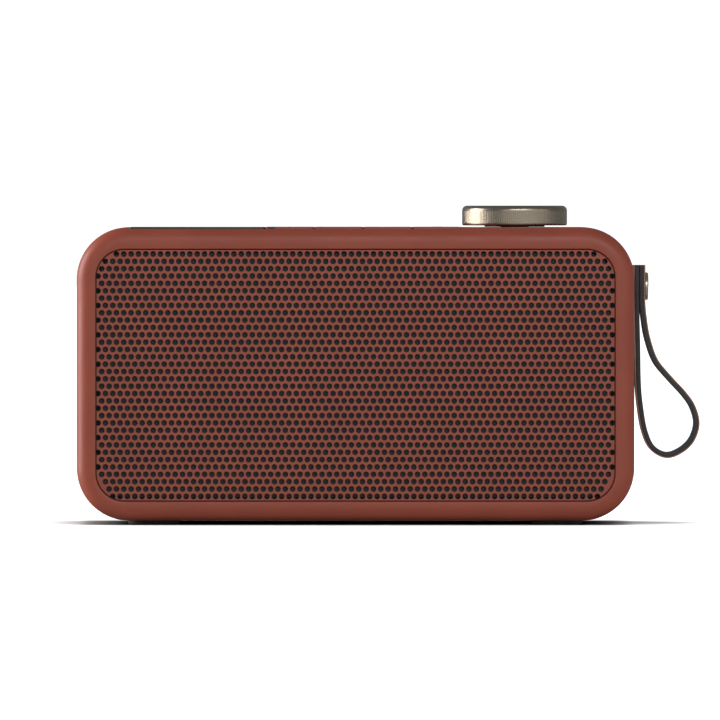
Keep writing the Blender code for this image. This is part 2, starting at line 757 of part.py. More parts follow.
def speaker_leads():
    """A wire from each driver's terminals up to the board's connector."""
    for side, label, x_end in ((-1, "left", 29 * MM), (1, "right", 41 * MM)):
        route = [
            (side * 58 * MM, -6 * MM, 67 * MM),
            (side * 56 * MM, 1 * MM, 72 * MM),
            (side * 48 * MM, 5 * MM, 74 * MM),
            (x_end + side * 3 * MM, 7 * MM, 71 * MM),
            (x_end, 8 * MM, 66 * MM),
            (x_end, 9.6 * MM, 64.5 * MM),
        ]
        tube(f"{label}_speaker_lead", smooth(route, 4), 0.7 * MM, "wire")


def ports():
    """The connector plate in the rear cover, and the two sockets behind it."""
    wall_inside = REAR - WALL
    flange = rounded_rectangle(34 * MM, 18 * MM, 3 * MM, (0, PORT_Z), 3)
    face = rounded_rectangle(29.4 * MM, 13.4 * MM, 2 * MM, (0, PORT_Z), 3)
    back = wall_inside - 1.8 * MM
    panel = outline_solid("port_panel", face, back, REAR - 0.6 * MM, "Y", "dark_plastic")
    join(panel, outline_solid("port_flange", flange, back, wall_inside - GAP, "Y"))
    usb_hole = rounded_rectangle(9.7 * MM, 4.0 * MM, 1.9 * MM, (USB_X, PORT_Z), 4)
    cut(panel, outline_solid("cut_usb", usb_hole, PARTING, DEPTH, "Y"))
    aux_start, aux_end = (AUX_X, PARTING, PORT_Z), (AUX_X, DEPTH, PORT_Z)
    cut(panel, rod("cut_aux", 3.3 * MM, aux_start, aux_end))

    board_back, mouth = BOARD_BACK + GAP, REAR - 0.9 * MM
    shell_outline = rounded_rectangle(9.0 * MM, 3.3 * MM, 1.6 * MM, (USB_X, PORT_Z), 4)
    inner = rounded_rectangle(8.4 * MM, 2.7 * MM, 1.3 * MM, (USB_X, PORT_Z), 4)
    usb = outline_solid("usb_socket", shell_outline, board_back, mouth, "Y", "bright_metal")
    cut(usb, outline_solid("cut_usb_inside", inner, mouth - 6.5 * MM, DEPTH, "Y"))
    tongue = block(
        "usb_tongue",
        (USB_X - 3.3 * MM, mouth - 8 * MM, PORT_Z - 0.35 * MM),
        (USB_X + 3.3 * MM, mouth - 0.8 * MM, PORT_Z + 0.35 * MM),
    )
    join(usb, tongue)

    shoulder = back - GAP
    jack = [(0, mouth), (3 * MM, mouth), (3 * MM, shoulder), (4.5 * MM, shoulder)]
    jack += [(4.5 * MM, board_back), (0, board_back)]
    socket = turned("aux_socket", jack, (AUX_X, 0, PORT_Z), (0, 1, 0), "bright_metal", steps=20)
    start, end = (AUX_X, board_back + 2 * MM, PORT_Z), (AUX_X, DEPTH, PORT_Z)
    cut(socket, rod("cut_jack", 1.8 * MM, start, end, sides=16))


# ---------------------------------------------------------------- strap and aerial


def carry_strap():
    """One strap bent into a loop: down the case's side, round, and up to its own other end, with a
    hole through both ends for the stud. Its route is in (x, z)."""
    route = [
        (STRAP_INNER_X, STRAP_TOP),
        (STRAP_INNER_X, 75 * MM),
        (96.45 * MM, 60 * MM),
        (96.7 * MM, 46.7 * MM),
        (97.45 * MM, 38.4 * MM),
        (98.9 * MM, 30.3 * MM),
        (101.5 * MM, 24.6 * MM),
        (106.2 * MM, 21.9 * MM),
        (111.0 * MM, 23.3 * MM),
        (115.0 * MM, 27.0 * MM),
        (116.8 * MM, 32.6 * MM),
        (115.4 * MM, 38.4 * MM),
        (112.2 * MM, 43.1 * MM),
        (107.5 * MM, 48.2 * MM),
        (102.6 * MM, 54.3 * MM),
        (99.9 * MM, 62.0 * MM),
        (98.75 * MM, 68.6 * MM),
        (STRAP_OUTER_X, 75.0 * MM),
        (STRAP_OUTER_X, STRAP_TOP),
    ]
    line = smooth([(x, -STRAP_WIDTH / 2, z) for x, z in route], 4)
    bm = bmesh.new()
    corners = [bm.verts.new(p) for p in line]
    edges = [bm.edges.new(pair) for pair in zip(corners, corners[1:])]
    swept = bmesh.ops.extrude_edge_only(bm, edges=edges)["geom"]
    moved = [g for g in swept if isinstance(g, bmesh.types.BMVert)]
    bmesh.ops.translate(bm, verts=moved, vec=(0, STRAP_WIDTH, 0))
    bmesh.ops.recalc_face_normals(bm, faces=bm.faces)
    strap = from_bmesh("carry_strap", bm, "strap_leather")
    thick = strap.modifiers.new("thickness", "SOLIDIFY")
    thick.thickness = STRAP_THICKNESS
    thick.offset = 0
    thick.use_even_offset = True
    cut(strap, stud_hole("cut_strap"))


def strap_stud():
    """A domed stud whose shank goes through both ends of the strap and into a nut in the case."""
    cap, shank, nut_end = 4.75 * MM, 1.8 * MM, WIDTH / 2 - WALL - 6 * MM
    profile = [(0, 1.0 * MM)]
    profile += arc(cap - 0.5 * MM, 0.45 * MM, 0.5 * MM, 75, 0, 3)
    profile += [(cap, 0), (shank, 0), (shank, nut_end - STUD_SEAT), (0, nut_end - STUD_SEAT)]
    turned("strap_stud", profile, (STUD_SEAT, 0, STUD_Z), (1, 0, 0), "champagne_metal", steps=24)
    low, high = WIDTH / 2 - WALL - 5 * MM, WIDTH / 2 - WALL - GAP
    nut = rod("strap_nut", 4 * MM, (low, 0, STUD_Z), (high, 0, STUD_Z), "bright_metal", sides=6)
    cut(nut, stud_hole("cut_nut"))


def aerial():
    """A turret in the rear cover, a forked joint, and sections that draw out of each other."""
    pivot = Vector((AERIAL_X, AERIAL_Y, AERIAL_Z))
    root, fork_end = STEP_FRONT + GAP, STEP_FRONT + 7 * MM
    turret = rod(
        "aerial_turret",
        3.4 * MM,
        (AERIAL_X, root, AERIAL_Z),
        (AERIAL_X, fork_end, AERIAL_Z),
        "bright_metal",
    )
    spigot = rod(
        "aerial_spigot",
        1.6 * MM,
        (AERIAL_X, 17 * MM, AERIAL_Z),
        (AERIAL_X, root + MM, AERIAL_Z),
        sides=16,
    )
    join(turret, spigot)
    slot_half, tongue_half, tongue_reach = 1.2 * MM, 1.0 * MM, 1.8 * MM
    slot = block(
        "cut_fork",
        (AERIAL_X - PAST, pivot.y - tongue_reach - 0.2 * MM, AERIAL_Z - slot_half),
        (AERIAL_X + PAST, DEPTH, AERIAL_Z + slot_half),
    )
    up = Vector((0, 0, 1))
    hole = rod("cut_fork_hole", 0.9 * MM, pivot - PAST * up, pivot + PAST * up, sides=12)
    cut(turret, slot, hole)
    pin_half = 2.4 * MM
    rod(
        "aerial_pin", 0.7 * MM, pivot - pin_half * up, pivot + pin_half * up, "bright_metal", 12
    )

    tube_start, tube_end, lead = AERIAL_X + 5.5 * MM, 62 * MM, 1.5 * MM
    for number, radius in enumerate(SECTION_RADII, 1):
        start, end = tube_start + 2 * MM * (number - 1), tube_end + lead * (number - 1)
        if number > 1:
            start += 4 * MM
        solid = [(0, end), (radius, end), (radius, start), (0, start)]
        base = (0, AERIAL_Y, AERIAL_Z)
        section = turned(
            f"aerial_section_{number}", solid, base, (1, 0, 0), "bright_metal", steps=16
        )
        if number < len(SECTION_RADII):
            bore = radius - SECTION_WALL
            bore_start = start + 2 * MM if number == 1 else start - PAST
            cutter = [(0, WIDTH), (bore, WIDTH), (bore, bore_start), (0, bore_start)]
            cut(section, turned(f"cut_section_{number}", cutter, base, (1, 0, 0), steps=16))
        if number == 1:
            tongue = block(
                "aerial_tongue",
                (AERIAL_X, AERIAL_Y - tongue_reach, AERIAL_Z - tongue_half),
                (tube_start + MM, AERIAL_Y + tongue_reach, AERIAL_Z + tongue_half),
            )
            low, high = pivot - tongue_half * up, pivot + tongue_half * up
            join(section, tongue, rod("aerial_eye", tongue_reach, low, high))
            cut(section, hole)
        last_end = end
    tip = [(0, last_end + 3.6 * MM), (1.6 * MM, last_end + 3.6 * MM)]
    tip += [(2.2 * MM, last_end + 3.0 * MM), (2.2 * MM, last_end + 0.2 * MM), (0, last_end + 0.2 * MM)]
    turned("aerial_tip", tip, (0, AERIAL_Y, AERIAL_Z), (1, 0, 0), "bright_metal", steps=16)


clear_scene()
radio = new_collection("portable_radio")
helpers = new_collection("cutters_and_guides")
make_materials()
main_housing()
rear_cover()
feet()
rear_screws()
front_grille()
grille_cloth()
speaker_baffle()
driver(-1, "left")
driver(1, "right")
passive_radiator()
display()
keys()
switches()
control_board()
knob()
encoder()
main_board()
battery()
speaker_leads()
ports()
carry_strap()
strap_stud()
aerial()
for made in radio.objects:
    if made.type == "MESH" and made.data.polygons:
        shade(made)
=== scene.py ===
"""The looks of the portable radio: finer meshes in place of the CAD solids that show, and a material
for every piece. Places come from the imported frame. Units are metres, with +Z up and the front at -Y.
"""

import json
import math

import bmesh
import bpy
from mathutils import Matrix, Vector, geometry


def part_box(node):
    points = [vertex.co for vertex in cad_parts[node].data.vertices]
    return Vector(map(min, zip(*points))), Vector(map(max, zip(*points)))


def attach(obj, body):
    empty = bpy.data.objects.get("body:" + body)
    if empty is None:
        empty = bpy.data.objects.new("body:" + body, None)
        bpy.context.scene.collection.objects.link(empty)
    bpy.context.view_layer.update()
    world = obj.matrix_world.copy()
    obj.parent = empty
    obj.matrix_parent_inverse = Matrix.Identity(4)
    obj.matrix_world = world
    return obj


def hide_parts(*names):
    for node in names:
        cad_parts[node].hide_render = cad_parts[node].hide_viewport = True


MM = 0.001
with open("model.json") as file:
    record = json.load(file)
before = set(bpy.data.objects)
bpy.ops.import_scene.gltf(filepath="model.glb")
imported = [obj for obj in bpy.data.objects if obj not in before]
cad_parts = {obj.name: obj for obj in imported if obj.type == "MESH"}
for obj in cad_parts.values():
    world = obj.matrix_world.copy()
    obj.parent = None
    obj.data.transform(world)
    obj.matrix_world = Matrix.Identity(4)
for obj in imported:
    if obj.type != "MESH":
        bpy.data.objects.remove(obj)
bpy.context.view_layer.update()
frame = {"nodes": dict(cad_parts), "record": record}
nodes = frame["nodes"]

# The case. The frame gives its places and main sizes
CASE_LOW, CASE_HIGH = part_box("main_housing")
COVER_LOW, COVER_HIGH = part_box("rear_cover")
WIDTH, HEIGHT = CASE_HIGH.x - CASE_LOW.x, CASE_HIGH.z - CASE_LOW.z
FRONT, REAR = CASE_LOW.y, COVER_HIGH.y
PARTING = CASE_HIGH.y
MIDDLE = (CASE_LOW.z + CASE_HIGH.z) / 2
CORNER, EDGE, WALL = 17.8 * MM, 4.8 * MM, 2.5 * MM
FRONT_WALL, LIP = 5 * MM, 0.35 * MM
SEAM_EDGE, SEAM_INSET = 0.3 * MM, 0.15 * MM
CASE_STEPS, ROD_SIDES = 20, 48

# The clearance between pieces, and how far a cutter reaches past what it cuts
GAP, PAST = 0.3 * MM, 5 * MM

# An edge stays sharp over these angles, in degrees
SHARP, KNOB_SHARP, STRAP_SHARP = 35, 22, 40

# Inside the case
BOSS_RADIUS, BOSS_START, BORE_START = 3.6 * MM, 5.5 * MM, 7 * MM
BORE_RADIUS = 1.8 * MM
HANGER_RADIUS = 2 * MM
HANGERS = [(x * MM, y * MM) for x in (-79, 40.5, 70) for y in (-12, 9)]
KNOB_HOLE, STUD_HOLE = 5.1 * MM, 2.1 * MM

# Rear cover
POST_RADIUS, HEAD_HOLE, HEAD_DEPTH = 5 * MM, 3.4 * MM, 2.1 * MM
STANDOFF_RADIUS = 2.5 * MM
STANDOFFS = [(x * MM, z * MM) for x in (-46, 46) for z in (30, 74)]
STEP_FLOOR, STEP_FRONT, STEP_BACKING = 90.4 * MM, 22.5 * MM, 2.2 * MM
PORT_WIDTH, PORT_HEIGHT, PORT_CORNER = 30 * MM, 14 * MM, 2.3 * MM
PIVOT_HOLE = 1.9 * MM

# Rear screws
SCREW_RADIUS, SCREW_HEAD, SCREW_CROWN = 1.5 * MM, 3 * MM, 2 * MM
SCREW_POINT = 1.5 * MM
# (share of the head's radius, height above its seat)
PAN_HEAD = [(1, 0), (1, 0.9 * MM), (0.93, 1.35 * MM), (0.75, 1.75 * MM), (0.4, 1.97 * MM)]
CROSS_REACH, CROSS_HALF, CROSS_DEPTH = 1.7 * MM, 0.35 * MM, 1.1 * MM

# Feet
FEET = [name for name in nodes if name.startswith("foot_")]
FOOT_CORNER, FOOT_EDGE, FOOT_POCKET = 4 * MM, 0.7 * MM, 1 * MM
FOOT_STEPS = 10

# Top controls
KEYS = ("power_key", "source_key", "preset_key", "menu_key")
STRIP_FRONT, STRIP_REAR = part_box("display_window")[0].y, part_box("display_window")[1].y
STRIP_CORNER, STRIP_POCKET, STRIP_CLEARANCE = 0.7 * MM, 1.8 * MM, 0.2 * MM
POCKET_FRONT = min(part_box(name)[0].y for name in ("display_window", *KEYS))
WELL_FRONT = -18 * MM
WINDOW_MARGIN, WINDOW_CORNER = -2.5 * MM, 1 * MM
LENS_EDGE, KEY_EDGE, KEY_PLATE = 0.2 * MM, 0.3 * MM, 1.4 * MM
FLANGE, FLANGE_OVERLAP, KEY_STEM = 1.5 * MM, 1.4 * MM, 1.6 * MM
FLANGE_GAP, BODY_DOWN = 0.5 * MM, 0.6 * MM
# A dark inset at the power key's front corner: painted shade for the shadowed gap beside the display
SHADE_INSET_REACH, SHADE_INSET_LENGTH, SHADE_INSET_HEIGHT = 3.4 * MM, 1.1 * MM, 0.9 * MM
SHADE_INSET_CORNER, SHADE_INSET_EDGE, SHADE_INSET_PROUD = 0.4 * MM, 0.15 * MM, 0.02 * MM
MARK_Y, MARK_REACH, MARK_LINE, INK = -4 * MM, 1.9 * MM, 0.45 * MM, 0.03 * MM
ARC_STEPS = 40

# Knob
KNOB_EDGE, KNOB_FOOT, KNOB_WALL = 1.7 * MM, 0.6 * MM, 1.4 * MM
GROOVES, GROOVE_SAMPLES = 168, 6
GROOVE_DEPTH, GROOVE_FADE = 0.045 * MM, 0.35 * MM

# Front grille
SHEET = 0.8 * MM
GRILLE_CORNER = 9.45 * MM
GRILLE_MARGIN = 0.35 * MM
HOLE_PITCH, HOLE_RADIUS, HOLE_EDGE = 2.5 * MM, 0.99 * MM, 0.06 * MM
HOLE_ROWS, HOLE_SIDES, LEAST_HOLE = 34, 12, 0.4
FIRST_ROW_UP, ROW_STARTS = 1.4 * MM, (1.75 * MM, 0.5 * MM)

# Strap and stud
STRAP_THICKNESS, STRAP_FACING, STRAP_CORNER = 2.05 * MM, 0.42 * MM, 0.3 * MM
STRAP_END_GAP, FACING_EDGE, FACING_INSET = 0.05 * MM, 0.12 * MM, 0.08 * MM
CREASE_IN, CREASE_HALF, CREASE_DEPTH = 1.3 * MM, 0.25 * MM, 0.09 * MM
STUD_HEAD, STUD_RADIUS, STUD_EDGE, STUD_SHANK = 1.0 * MM, 4.75 * MM, 0.5 * MM, 1.8 * MM
STUD_DOME = 0.06 * MM

# Aerial
TUBE_WALL, TUBE_RIM, TUBE_SIDES = 0.3 * MM, 0.2 * MM, 40
TIP_STRAIGHT = 0.62

# Camera: square to the front, level with the top, and far enough off for almost parallel sight lines
VIEW_WIDTH, VIEW_DISTANCE, SENSOR = 245.0 * MM, 4.0, 36
VIEW_X, EYE_Z, AIM_Z = 1.52 * MM, 107 * MM, 54.8 * MM

# Room, backdrop and floor. The floor's sun is given by its place, its strength and its width in degrees.
# CONTACT_SHADOW is how far the floor's painted contact shade reaches
ROOM, ROOM_TINT, BACKDROP = 0.24, (0.92, 0.96, 1, 1), 1.1
FLOOR_REACH, FLOOR_BOUNCE, CONTACT_SHADOW = 12, (0.24, 0.24, 0.24, 1), 55 * MM
SUN_PLACE, SUN_STRENGTH, SUN_WIDTH = (0.05, -0.06, 1.2), 3.8, 34

# Colours
TERRACOTTA, KEY_TERRACOTTA = (0.298, 0.060, 0.032), (0.288, 0.057, 0.03)
GRILLE_TERRACOTTA = (0.30, 0.063, 0.034)
CLOTH, LEATHER, TAN = (0.019, 0.022, 0.024), (0.018, 0.018, 0.02), (0.34, 0.175, 0.11)
BLACK_PLASTIC, BLACK_GLASS = (0.022, 0.022, 0.024), (0.006, 0.006, 0.008)
CHAMPAGNE, BRONZE, STUD_BRONZE = (0.313, 0.264, 0.202), (0.10, 0.07, 0.055), (0.42, 0.37, 0.3)
CHROME, GREY_RUBBER, PALE_INK = (0.68, 0.68, 0.67), (0.085, 0.085, 0.088), (0.62, 0.50, 0.44)
MAGNET_GREY, BLACK_PAPER, BOARD_GREEN = (0.06, 0.06, 0.065), (0.03, 0.03, 0.03), (0.01, 0.07, 0.03)
CELL_BLUE, WIRE_RED = (0.03, 0.12, 0.35), (0.3, 0.02, 0.02)

# Most of a noise texture's values lie between these
NOISE_LOW, NOISE_HIGH = 0.3, 0.7


# ---------------------------------------------------------------- camera, light and floor


def camera():
    data = bpy.data.cameras.new("camera")
    data.sensor_width = SENSOR
    data.lens = SENSOR * VIEW_DISTANCE / VIEW_WIDTH
    data.clip_end = 50
    obj = bpy.data.objects.new("camera", data)
    obj.location = (VIEW_X, FRONT - VIEW_DISTANCE, EYE_Z)
    aim = Vector((VIEW_X, FRONT, AIM_Z)) - obj.location
    obj.rotation_euler = aim.to_track_quat("-Z", "Y").to_euler()
    bpy.context.collection.objects.link(obj)
    bpy.context.scene.camera = obj


def add_light(name, kind, place, energy):
    """A light at place, turned towards the middle of the case."""
    data = bpy.data.lights.new(name, kind)
    data.energy = energy
    obj = bpy.data.objects.new(name, data)
    obj.location = place
    obj.rotation_euler = (Vector((0, 0, MIDDLE)) - obj.location).to_track_quat("-Z", "Y").to_euler()
    bpy.context.collection.objects.link(obj)
    return obj


def softbox(name, azimuth, elevation, distance, size, brightness):
    """A rectangle of even brightness. Azimuth is in degrees from the front round to the right."""
    across, up = math.radians(azimuth), math.radians(elevation)
    level = distance * math.cos(up)
    place = (level * math.sin(across), -level * math.cos(across), MIDDLE + distance * math.sin(up))
    obj = add_light(name, "AREA", place, brightness * math.pi * size[0] * size[1])
    obj.data.shape = "RECTANGLE"
    obj.data.size, obj.data.size_y = size
    obj.visible_camera = False


def light_path_mix(tree, seen, otherwise):
    """A shader that is one thing to the camera and another to all other rays."""
    path = tree.nodes.new("ShaderNodeLightPath")
    mix = tree.nodes.new("ShaderNodeMixShader")
    tree.links.new(path.outputs["Is Camera Ray"], mix.inputs[0])
    tree.links.new(otherwise.outputs[0], mix.inputs[1])
    tree.links.new(seen.outputs[0], mix.inputs[2])
    return mix.outputs[0]


def studio():
    """White all round to the camera, a dim room to the object, and softboxes to the front and left."""
    scene = bpy.context.scene
    scene.view_settings.view_transform = "Standard"
    world = bpy.data.worlds.new("studio")
    world.use_nodes = True
    scene.world = world
    tree = world.node_tree
    tree.nodes.clear()
    room, backdrop = (tree.nodes.new("ShaderNodeBackground") for _ in range(2))
    room.inputs["Color"].default_value = ROOM_TINT
    room.inputs["Strength"].default_value = ROOM
    backdrop.inputs["Color"].default_value = (1, 1, 1, 1)
    backdrop.inputs["Strength"].default_value = BACKDROP
    out = tree.nodes.new("ShaderNodeOutputWorld")
    tree.links.new(light_path_mix(tree, backdrop, room), out.inputs["Surface"])
    softbox("front_panel", azimuth=26, elevation=9, distance=1.6, size=(4.0, 1.5), brightness=0.66)
    softbox("left_strip", azimuth=-96, elevation=8, distance=1.0, size=(0.55, 0.9), brightness=10)
    softbox("shoulder_light", azimuth=14, elevation=25, distance=1.4, size=(0.95, 0.22), brightness=6.8)


def floor():
    """A pale floor that runs into the white backdrop, its colour darkened near and under the case by
    ambient occlusion as painted contact shade. Its own light also casts the case's shadow.
    """
    low = min(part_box(name)[0].z for name in FEET)
    mesh = bpy.data.meshes.new("floor")
    corners = [(u * FLOOR_REACH, v * FLOOR_REACH, low) for u, v in ((-1, -1), (1, -1), (1, 1), (-1, 1))]
    mesh.from_pydata(corners, [], [(0, 1, 2, 3)])
    obj = bpy.data.objects.new("floor", mesh)
    bpy.context.collection.objects.link(obj)
    material = bpy.data.materials.new("pale_floor")
    material.use_nodes = True
    tree = material.node_tree
    tree.nodes.clear()
    pale, dim = (tree.nodes.new("ShaderNodeBsdfDiffuse") for _ in range(2))
    # The pale colour comes from ambient occlusion: painted shade near and under the case, over the sun's
    # real shadow
    painted_contact_shade = tree.nodes.new("ShaderNodeAmbientOcclusion")
    painted_contact_shade.inputs["Distance"].default_value = CONTACT_SHADOW
    tree.links.new(painted_contact_shade.outputs["Color"], pale.inputs["Color"])
    dim.inputs["Color"].default_value = FLOOR_BOUNCE
    out = tree.nodes.new("ShaderNodeOutputMaterial")
    tree.links.new(light_path_mix(tree, pale, dim), out.inputs["Surface"])
    mesh.materials.append(material)
    sun = add_light("floor_sun", "SUN", SUN_PLACE, SUN_STRENGTH)
    sun.data.angle = math.radians(SUN_WIDTH)
    lit = bpy.data.collections.new("lit_by_floor_sun")
    lit.objects.link(obj)
    sun.light_linking.receiver_collection = lit


# ---------------------------------------------------------------- materials


class Shader:
    """A Principled material whose colour, roughness and bump come from textures in object space."""

    def __init__(self, name, roughness, metallic=0, **sockets):
        self.material = bpy.data.materials.new(name)
        self.material.use_nodes = True
        self.tree = self.material.node_tree
        self.principled = self.tree.nodes["Principled BSDF"]
        self.principled.inputs["Metallic"].default_value = metallic
        self.principled.inputs["Roughness"].default_value = roughness
        for socket, value in sockets.items():
            self.principled.inputs[socket.replace("_", " ")].default_value = value
        self.bumped = None

    def node(self, kind, **values):
        made = self.tree.nodes.new("ShaderNode" + kind)
        for name, value in values.items():
            setattr(made, name, value)
        return made

    def link(self, source, target):
        self.tree.links.new(source, target)

    def place(self, stretch=(1, 1, 1), offset=(0, 0, 0)):
        """Object-space coordinates, moved by offset and then scaled by stretch."""
        coordinates = self.node("TexCoord")
        moved = self.node("VectorMath", operation="SUBTRACT")
        moved.inputs[1].default_value = offset
        scaled = self.node("VectorMath", operation="MULTIPLY")
        scaled.inputs[1].default_value = stretch
        self.link(coordinates.outputs["Object"], moved.inputs[0])
        self.link(moved.outputs[0], scaled.inputs[0])
        return scaled.outputs[0]

    def noise(self, size, detail, vector=None):
        """Noise whose features are about size metres across."""
        texture = self.node("TexNoise")
        texture.inputs["Scale"].default_value = 1 / size
        texture.inputs["Detail"].default_value = detail
        self.link(vector or self.place(), texture.inputs["Vector"])
        return texture.outputs["Fac"]

    def cells(self, size, feature="F1", vector=None):
        texture = self.node("TexVoronoi", feature=feature)
        texture.inputs["Scale"].default_value = 1 / size
        self.link(vector or self.place(), texture.inputs["Vector"])
        return texture.outputs["Distance"]

    def product(self, first, second):
        made = self.node("Math", operation="MULTIPLY")
        self.link(first, made.inputs[0])
        self.link(second, made.inputs[1])
        return made.outputs[0]

    def between(self, value, low, high):
        """A noise's value made into one from low to high."""
        made = self.node("MapRange")
        ends = {"From Min": NOISE_LOW, "From Max": NOISE_HIGH, "To Min": low, "To Max": high}
        for socket, number in ends.items():
            made.inputs[socket].default_value = number
        self.link(value, made.inputs["Value"])
        return made.outputs["Result"]

    def colours(self, value, stops):
        ramp = self.node("ValToRGB")
        elements = ramp.color_ramp.elements
        while len(elements) < len(stops):
            elements.new(0.5)
        for element, (position, colour) in zip(elements, stops):
            element.position = position
            element.color = (*colour, 1)
        self.link(value, ramp.inputs["Fac"])
        return ramp.outputs["Color"]

    def tint(self, value):
        self.link(value, self.principled.inputs["Base Color"])

    def gloss(self, value):
        self.link(value, self.principled.inputs["Roughness"])

    def bump(self, height, depth, strength):
        """Adds relief of that depth to what is there already."""
        made = self.node("Bump")
        made.inputs["Strength"].default_value = strength
        made.inputs["Distance"].default_value = depth
        self.link(height, made.inputs["Height"])
        if self.bumped:
            self.link(self.bumped, made.inputs["Normal"])
        self.bumped = made.outputs["Normal"]
        self.link(self.bumped, self.principled.inputs["Normal"])


def shades(colour, spread):
    """A darker and a lighter shade of the colour, for the ends of a ramp."""
    darker = tuple(c * (1 - spread) for c in colour)
    lighter = tuple(min(1, c * (1 + spread)) for c in colour)
    return [(NOISE_LOW, darker), (NOISE_HIGH, lighter)]


def moulded_plastic(name, colour, roughness, grain=0.45 * MM, relief=0.02 * MM):
    """Fine spark-eroded texture, with slow drift in tone and gloss."""
    shader = Shader(name, roughness, Specular_IOR_Level=0.4)
    shader.tint(shader.colours(shader.noise(22 * MM, 4), shades(colour, 0.06)))
    shader.gloss(shader.between(shader.noise(9 * MM, 5), roughness - 0.05, roughness + 0.06))
    shader.bump(shader.noise(grain, 2), relief, 0.5)
    return shader.material


def powder_coat(name, colour):
    """Painted sheet: an orange-peel surface with a slow drift in tone."""
    shader = Shader(name, 0.45, Specular_IOR_Level=0.45)
    shader.tint(shader.colours(shader.noise(14 * MM, 5), shades(colour, 0.08)))
    shader.gloss(shader.between(shader.noise(1.2 * MM, 3), 0.38, 0.55))
    shader.bump(shader.noise(0.5 * MM, 2), 0.015 * MM, 0.6)
    return shader.material


def woven_cloth(name, colour):
    """Plain weave: threads over and under each other, with a soft sheen."""
    thread = 0.36 * MM
    shader = Shader(name, 0.9, Sheen_Weight=0.35, Sheen_Roughness=0.5)
    across = shader.node("TexWave", bands_direction="X")
    along = shader.node("TexWave", bands_direction="Z")
    place = shader.place()
    for wave in (across, along):
        wave.inputs["Scale"].default_value = math.pi / 10 / thread
        wave.inputs["Distortion"].default_value = 0.4
        shader.link(place, wave.inputs["Vector"])
    weave = shader.product(across.outputs["Fac"], along.outputs["Fac"])
    lighter = tuple(c * 2.2 for c in colour)
    shader.tint(shader.colours(weave, [(0.0, colour), (0.9, lighter)]))
    shader.bump(weave, 0.08 * MM, 0.8)
    shader.bump(shader.noise(0.12 * MM, 2), 0.02 * MM, 0.4)
    return shader.material


def spun_metal(name, colour, centre):
    """Anodised metal turned on a lathe: rings about the vertical axis through centre."""
    shader = Shader(name, 0.27, 1)
    away = shader.place((1, 1, 0), (centre[0], centre[1], 0))
    length = shader.node("VectorMath", operation="LENGTH")
    shader.link(away, length.inputs[0])
    radius = shader.node("CombineXYZ")
    shader.link(length.outputs["Value"], radius.inputs["X"])
    rings = shader.noise(0.35 * MM, 2, radius.outputs[0])
    shader.tint(shader.colours(shader.noise(9 * MM, 3), shades(colour, 0.03)))
    shader.gloss(shader.between(shader.noise(4 * MM, 4), 0.25, 0.3))
    shader.bump(rings, 0.003 * MM, 0.3)
    return shader.material


def plated_metal(name, colour, roughness, grain=(1, 1, 1)):
    """Bright plating with fine drawing lines and a few duller patches where it is handled."""
    shader = Shader(name, roughness, 1)
    shader.tint(shader.colours(shader.noise(8 * MM, 4), shades(colour, 0.04)))
    shader.gloss(shader.between(shader.noise(5 * MM, 5), roughness - 0.03, roughness + 0.06))
    shader.bump(shader.noise(0.25 * MM, 2, shader.place(grain)), 0.002 * MM, 0.4)
    return shader.material


def leather(name, colour, roughness, pebble=0.7 * MM, relief=0.08 * MM):
    """Pebbled grain with pores, tone that drifts along the strap, and a waxed sheen."""
    shader = Shader(name, roughness, Sheen_Weight=0.12, Sheen_Roughness=0.4)
    shader.tint(shader.colours(shader.noise(3.5 * MM, 6), shades(colour, 0.2)))
    shader.gloss(shader.between(shader.noise(2 * MM, 5), roughness - 0.1, roughness + 0.1))
    warped = shader.node("VectorMath", operation="ADD")
    drift = shader.node("TexNoise")
    drift.inputs["Scale"].default_value = 1 / (1.5 * MM)
    shader.link(shader.place(), drift.inputs["Vector"])
    scaled = shader.node("VectorMath", operation="SCALE")
    scaled.inputs["Scale"].default_value = 0.4 * MM
    shader.link(drift.outputs["Color"], scaled.inputs[0])
    shader.link(shader.place(), warped.inputs[0])
    shader.link(scaled.outputs[0], warped.inputs[1])
    shader.bump(shader.cells(pebble, "DISTANCE_TO_EDGE", warped.outputs[0]), relief, 0.7)
    shader.bump(shader.noise(0.15 * MM, 3), relief / 4, 0.5)
    return shader.material


def dark_glass(name, colour):
    """A polished lens with the faintest smears."""
    shader = Shader(name, 0.18, Coat_Weight=0.2, Coat_Roughness=0.1)
    shader.tint(shader.colours(shader.noise(18 * MM, 3), shades(colour, 0.25)))
    shader.gloss(shader.between(shader.noise(7 * MM, 6), 0.14, 0.22))
    return shader.material


def soft_rubber(name, colour):
    shader = Shader(name, 0.75, Specular_IOR_Level=0.35)
    shader.tint(shader.colours(shader.noise(2.5 * MM, 5), shades(colour, 0.2)))
    shader.gloss(shader.between(shader.noise(1.5 * MM, 4), 0.66, 0.85))
    shader.bump(shader.cells(0.35 * MM), 0.03 * MM, 0.6)
    return shader.material


def pressed_paper(name, colour):
    shader = Shader(name, 0.85)
    shader.tint(shader.colours(shader.noise(1.8 * MM, 6), shades(colour, 0.3)))
    shader.bump(shader.noise(0.5 * MM, 5), 0.06 * MM, 0.8)
    return shader.material


def circuit_board(name, colour):
    """Solder resist over copper tracks."""
    shader = Shader(name, 0.4, Coat_Weight=0.3)
    tracks = shader.node("TexBrick")
    tracks.inputs["Scale"].default_value = 1 / (9 * MM)
    tracks.inputs["Mortar Size"].default_value = 0.06
    tracks.inputs["Color1"].default_value = (*colour, 1)
    tracks.inputs["Color2"].default_value = (*[c * 0.75 for c in colour], 1)
    tracks.inputs["Mortar"].default_value = (*[c * 1.9 for c in colour], 1)
    shader.link(shader.place(), tracks.inputs["Vector"])
    shader.tint(tracks.outputs["Color"])
    shader.bump(tracks.outputs["Fac"], 0.03 * MM, 0.5)
    shader.gloss(shader.between(shader.noise(3 * MM, 3), 0.34, 0.5))
    return shader.material


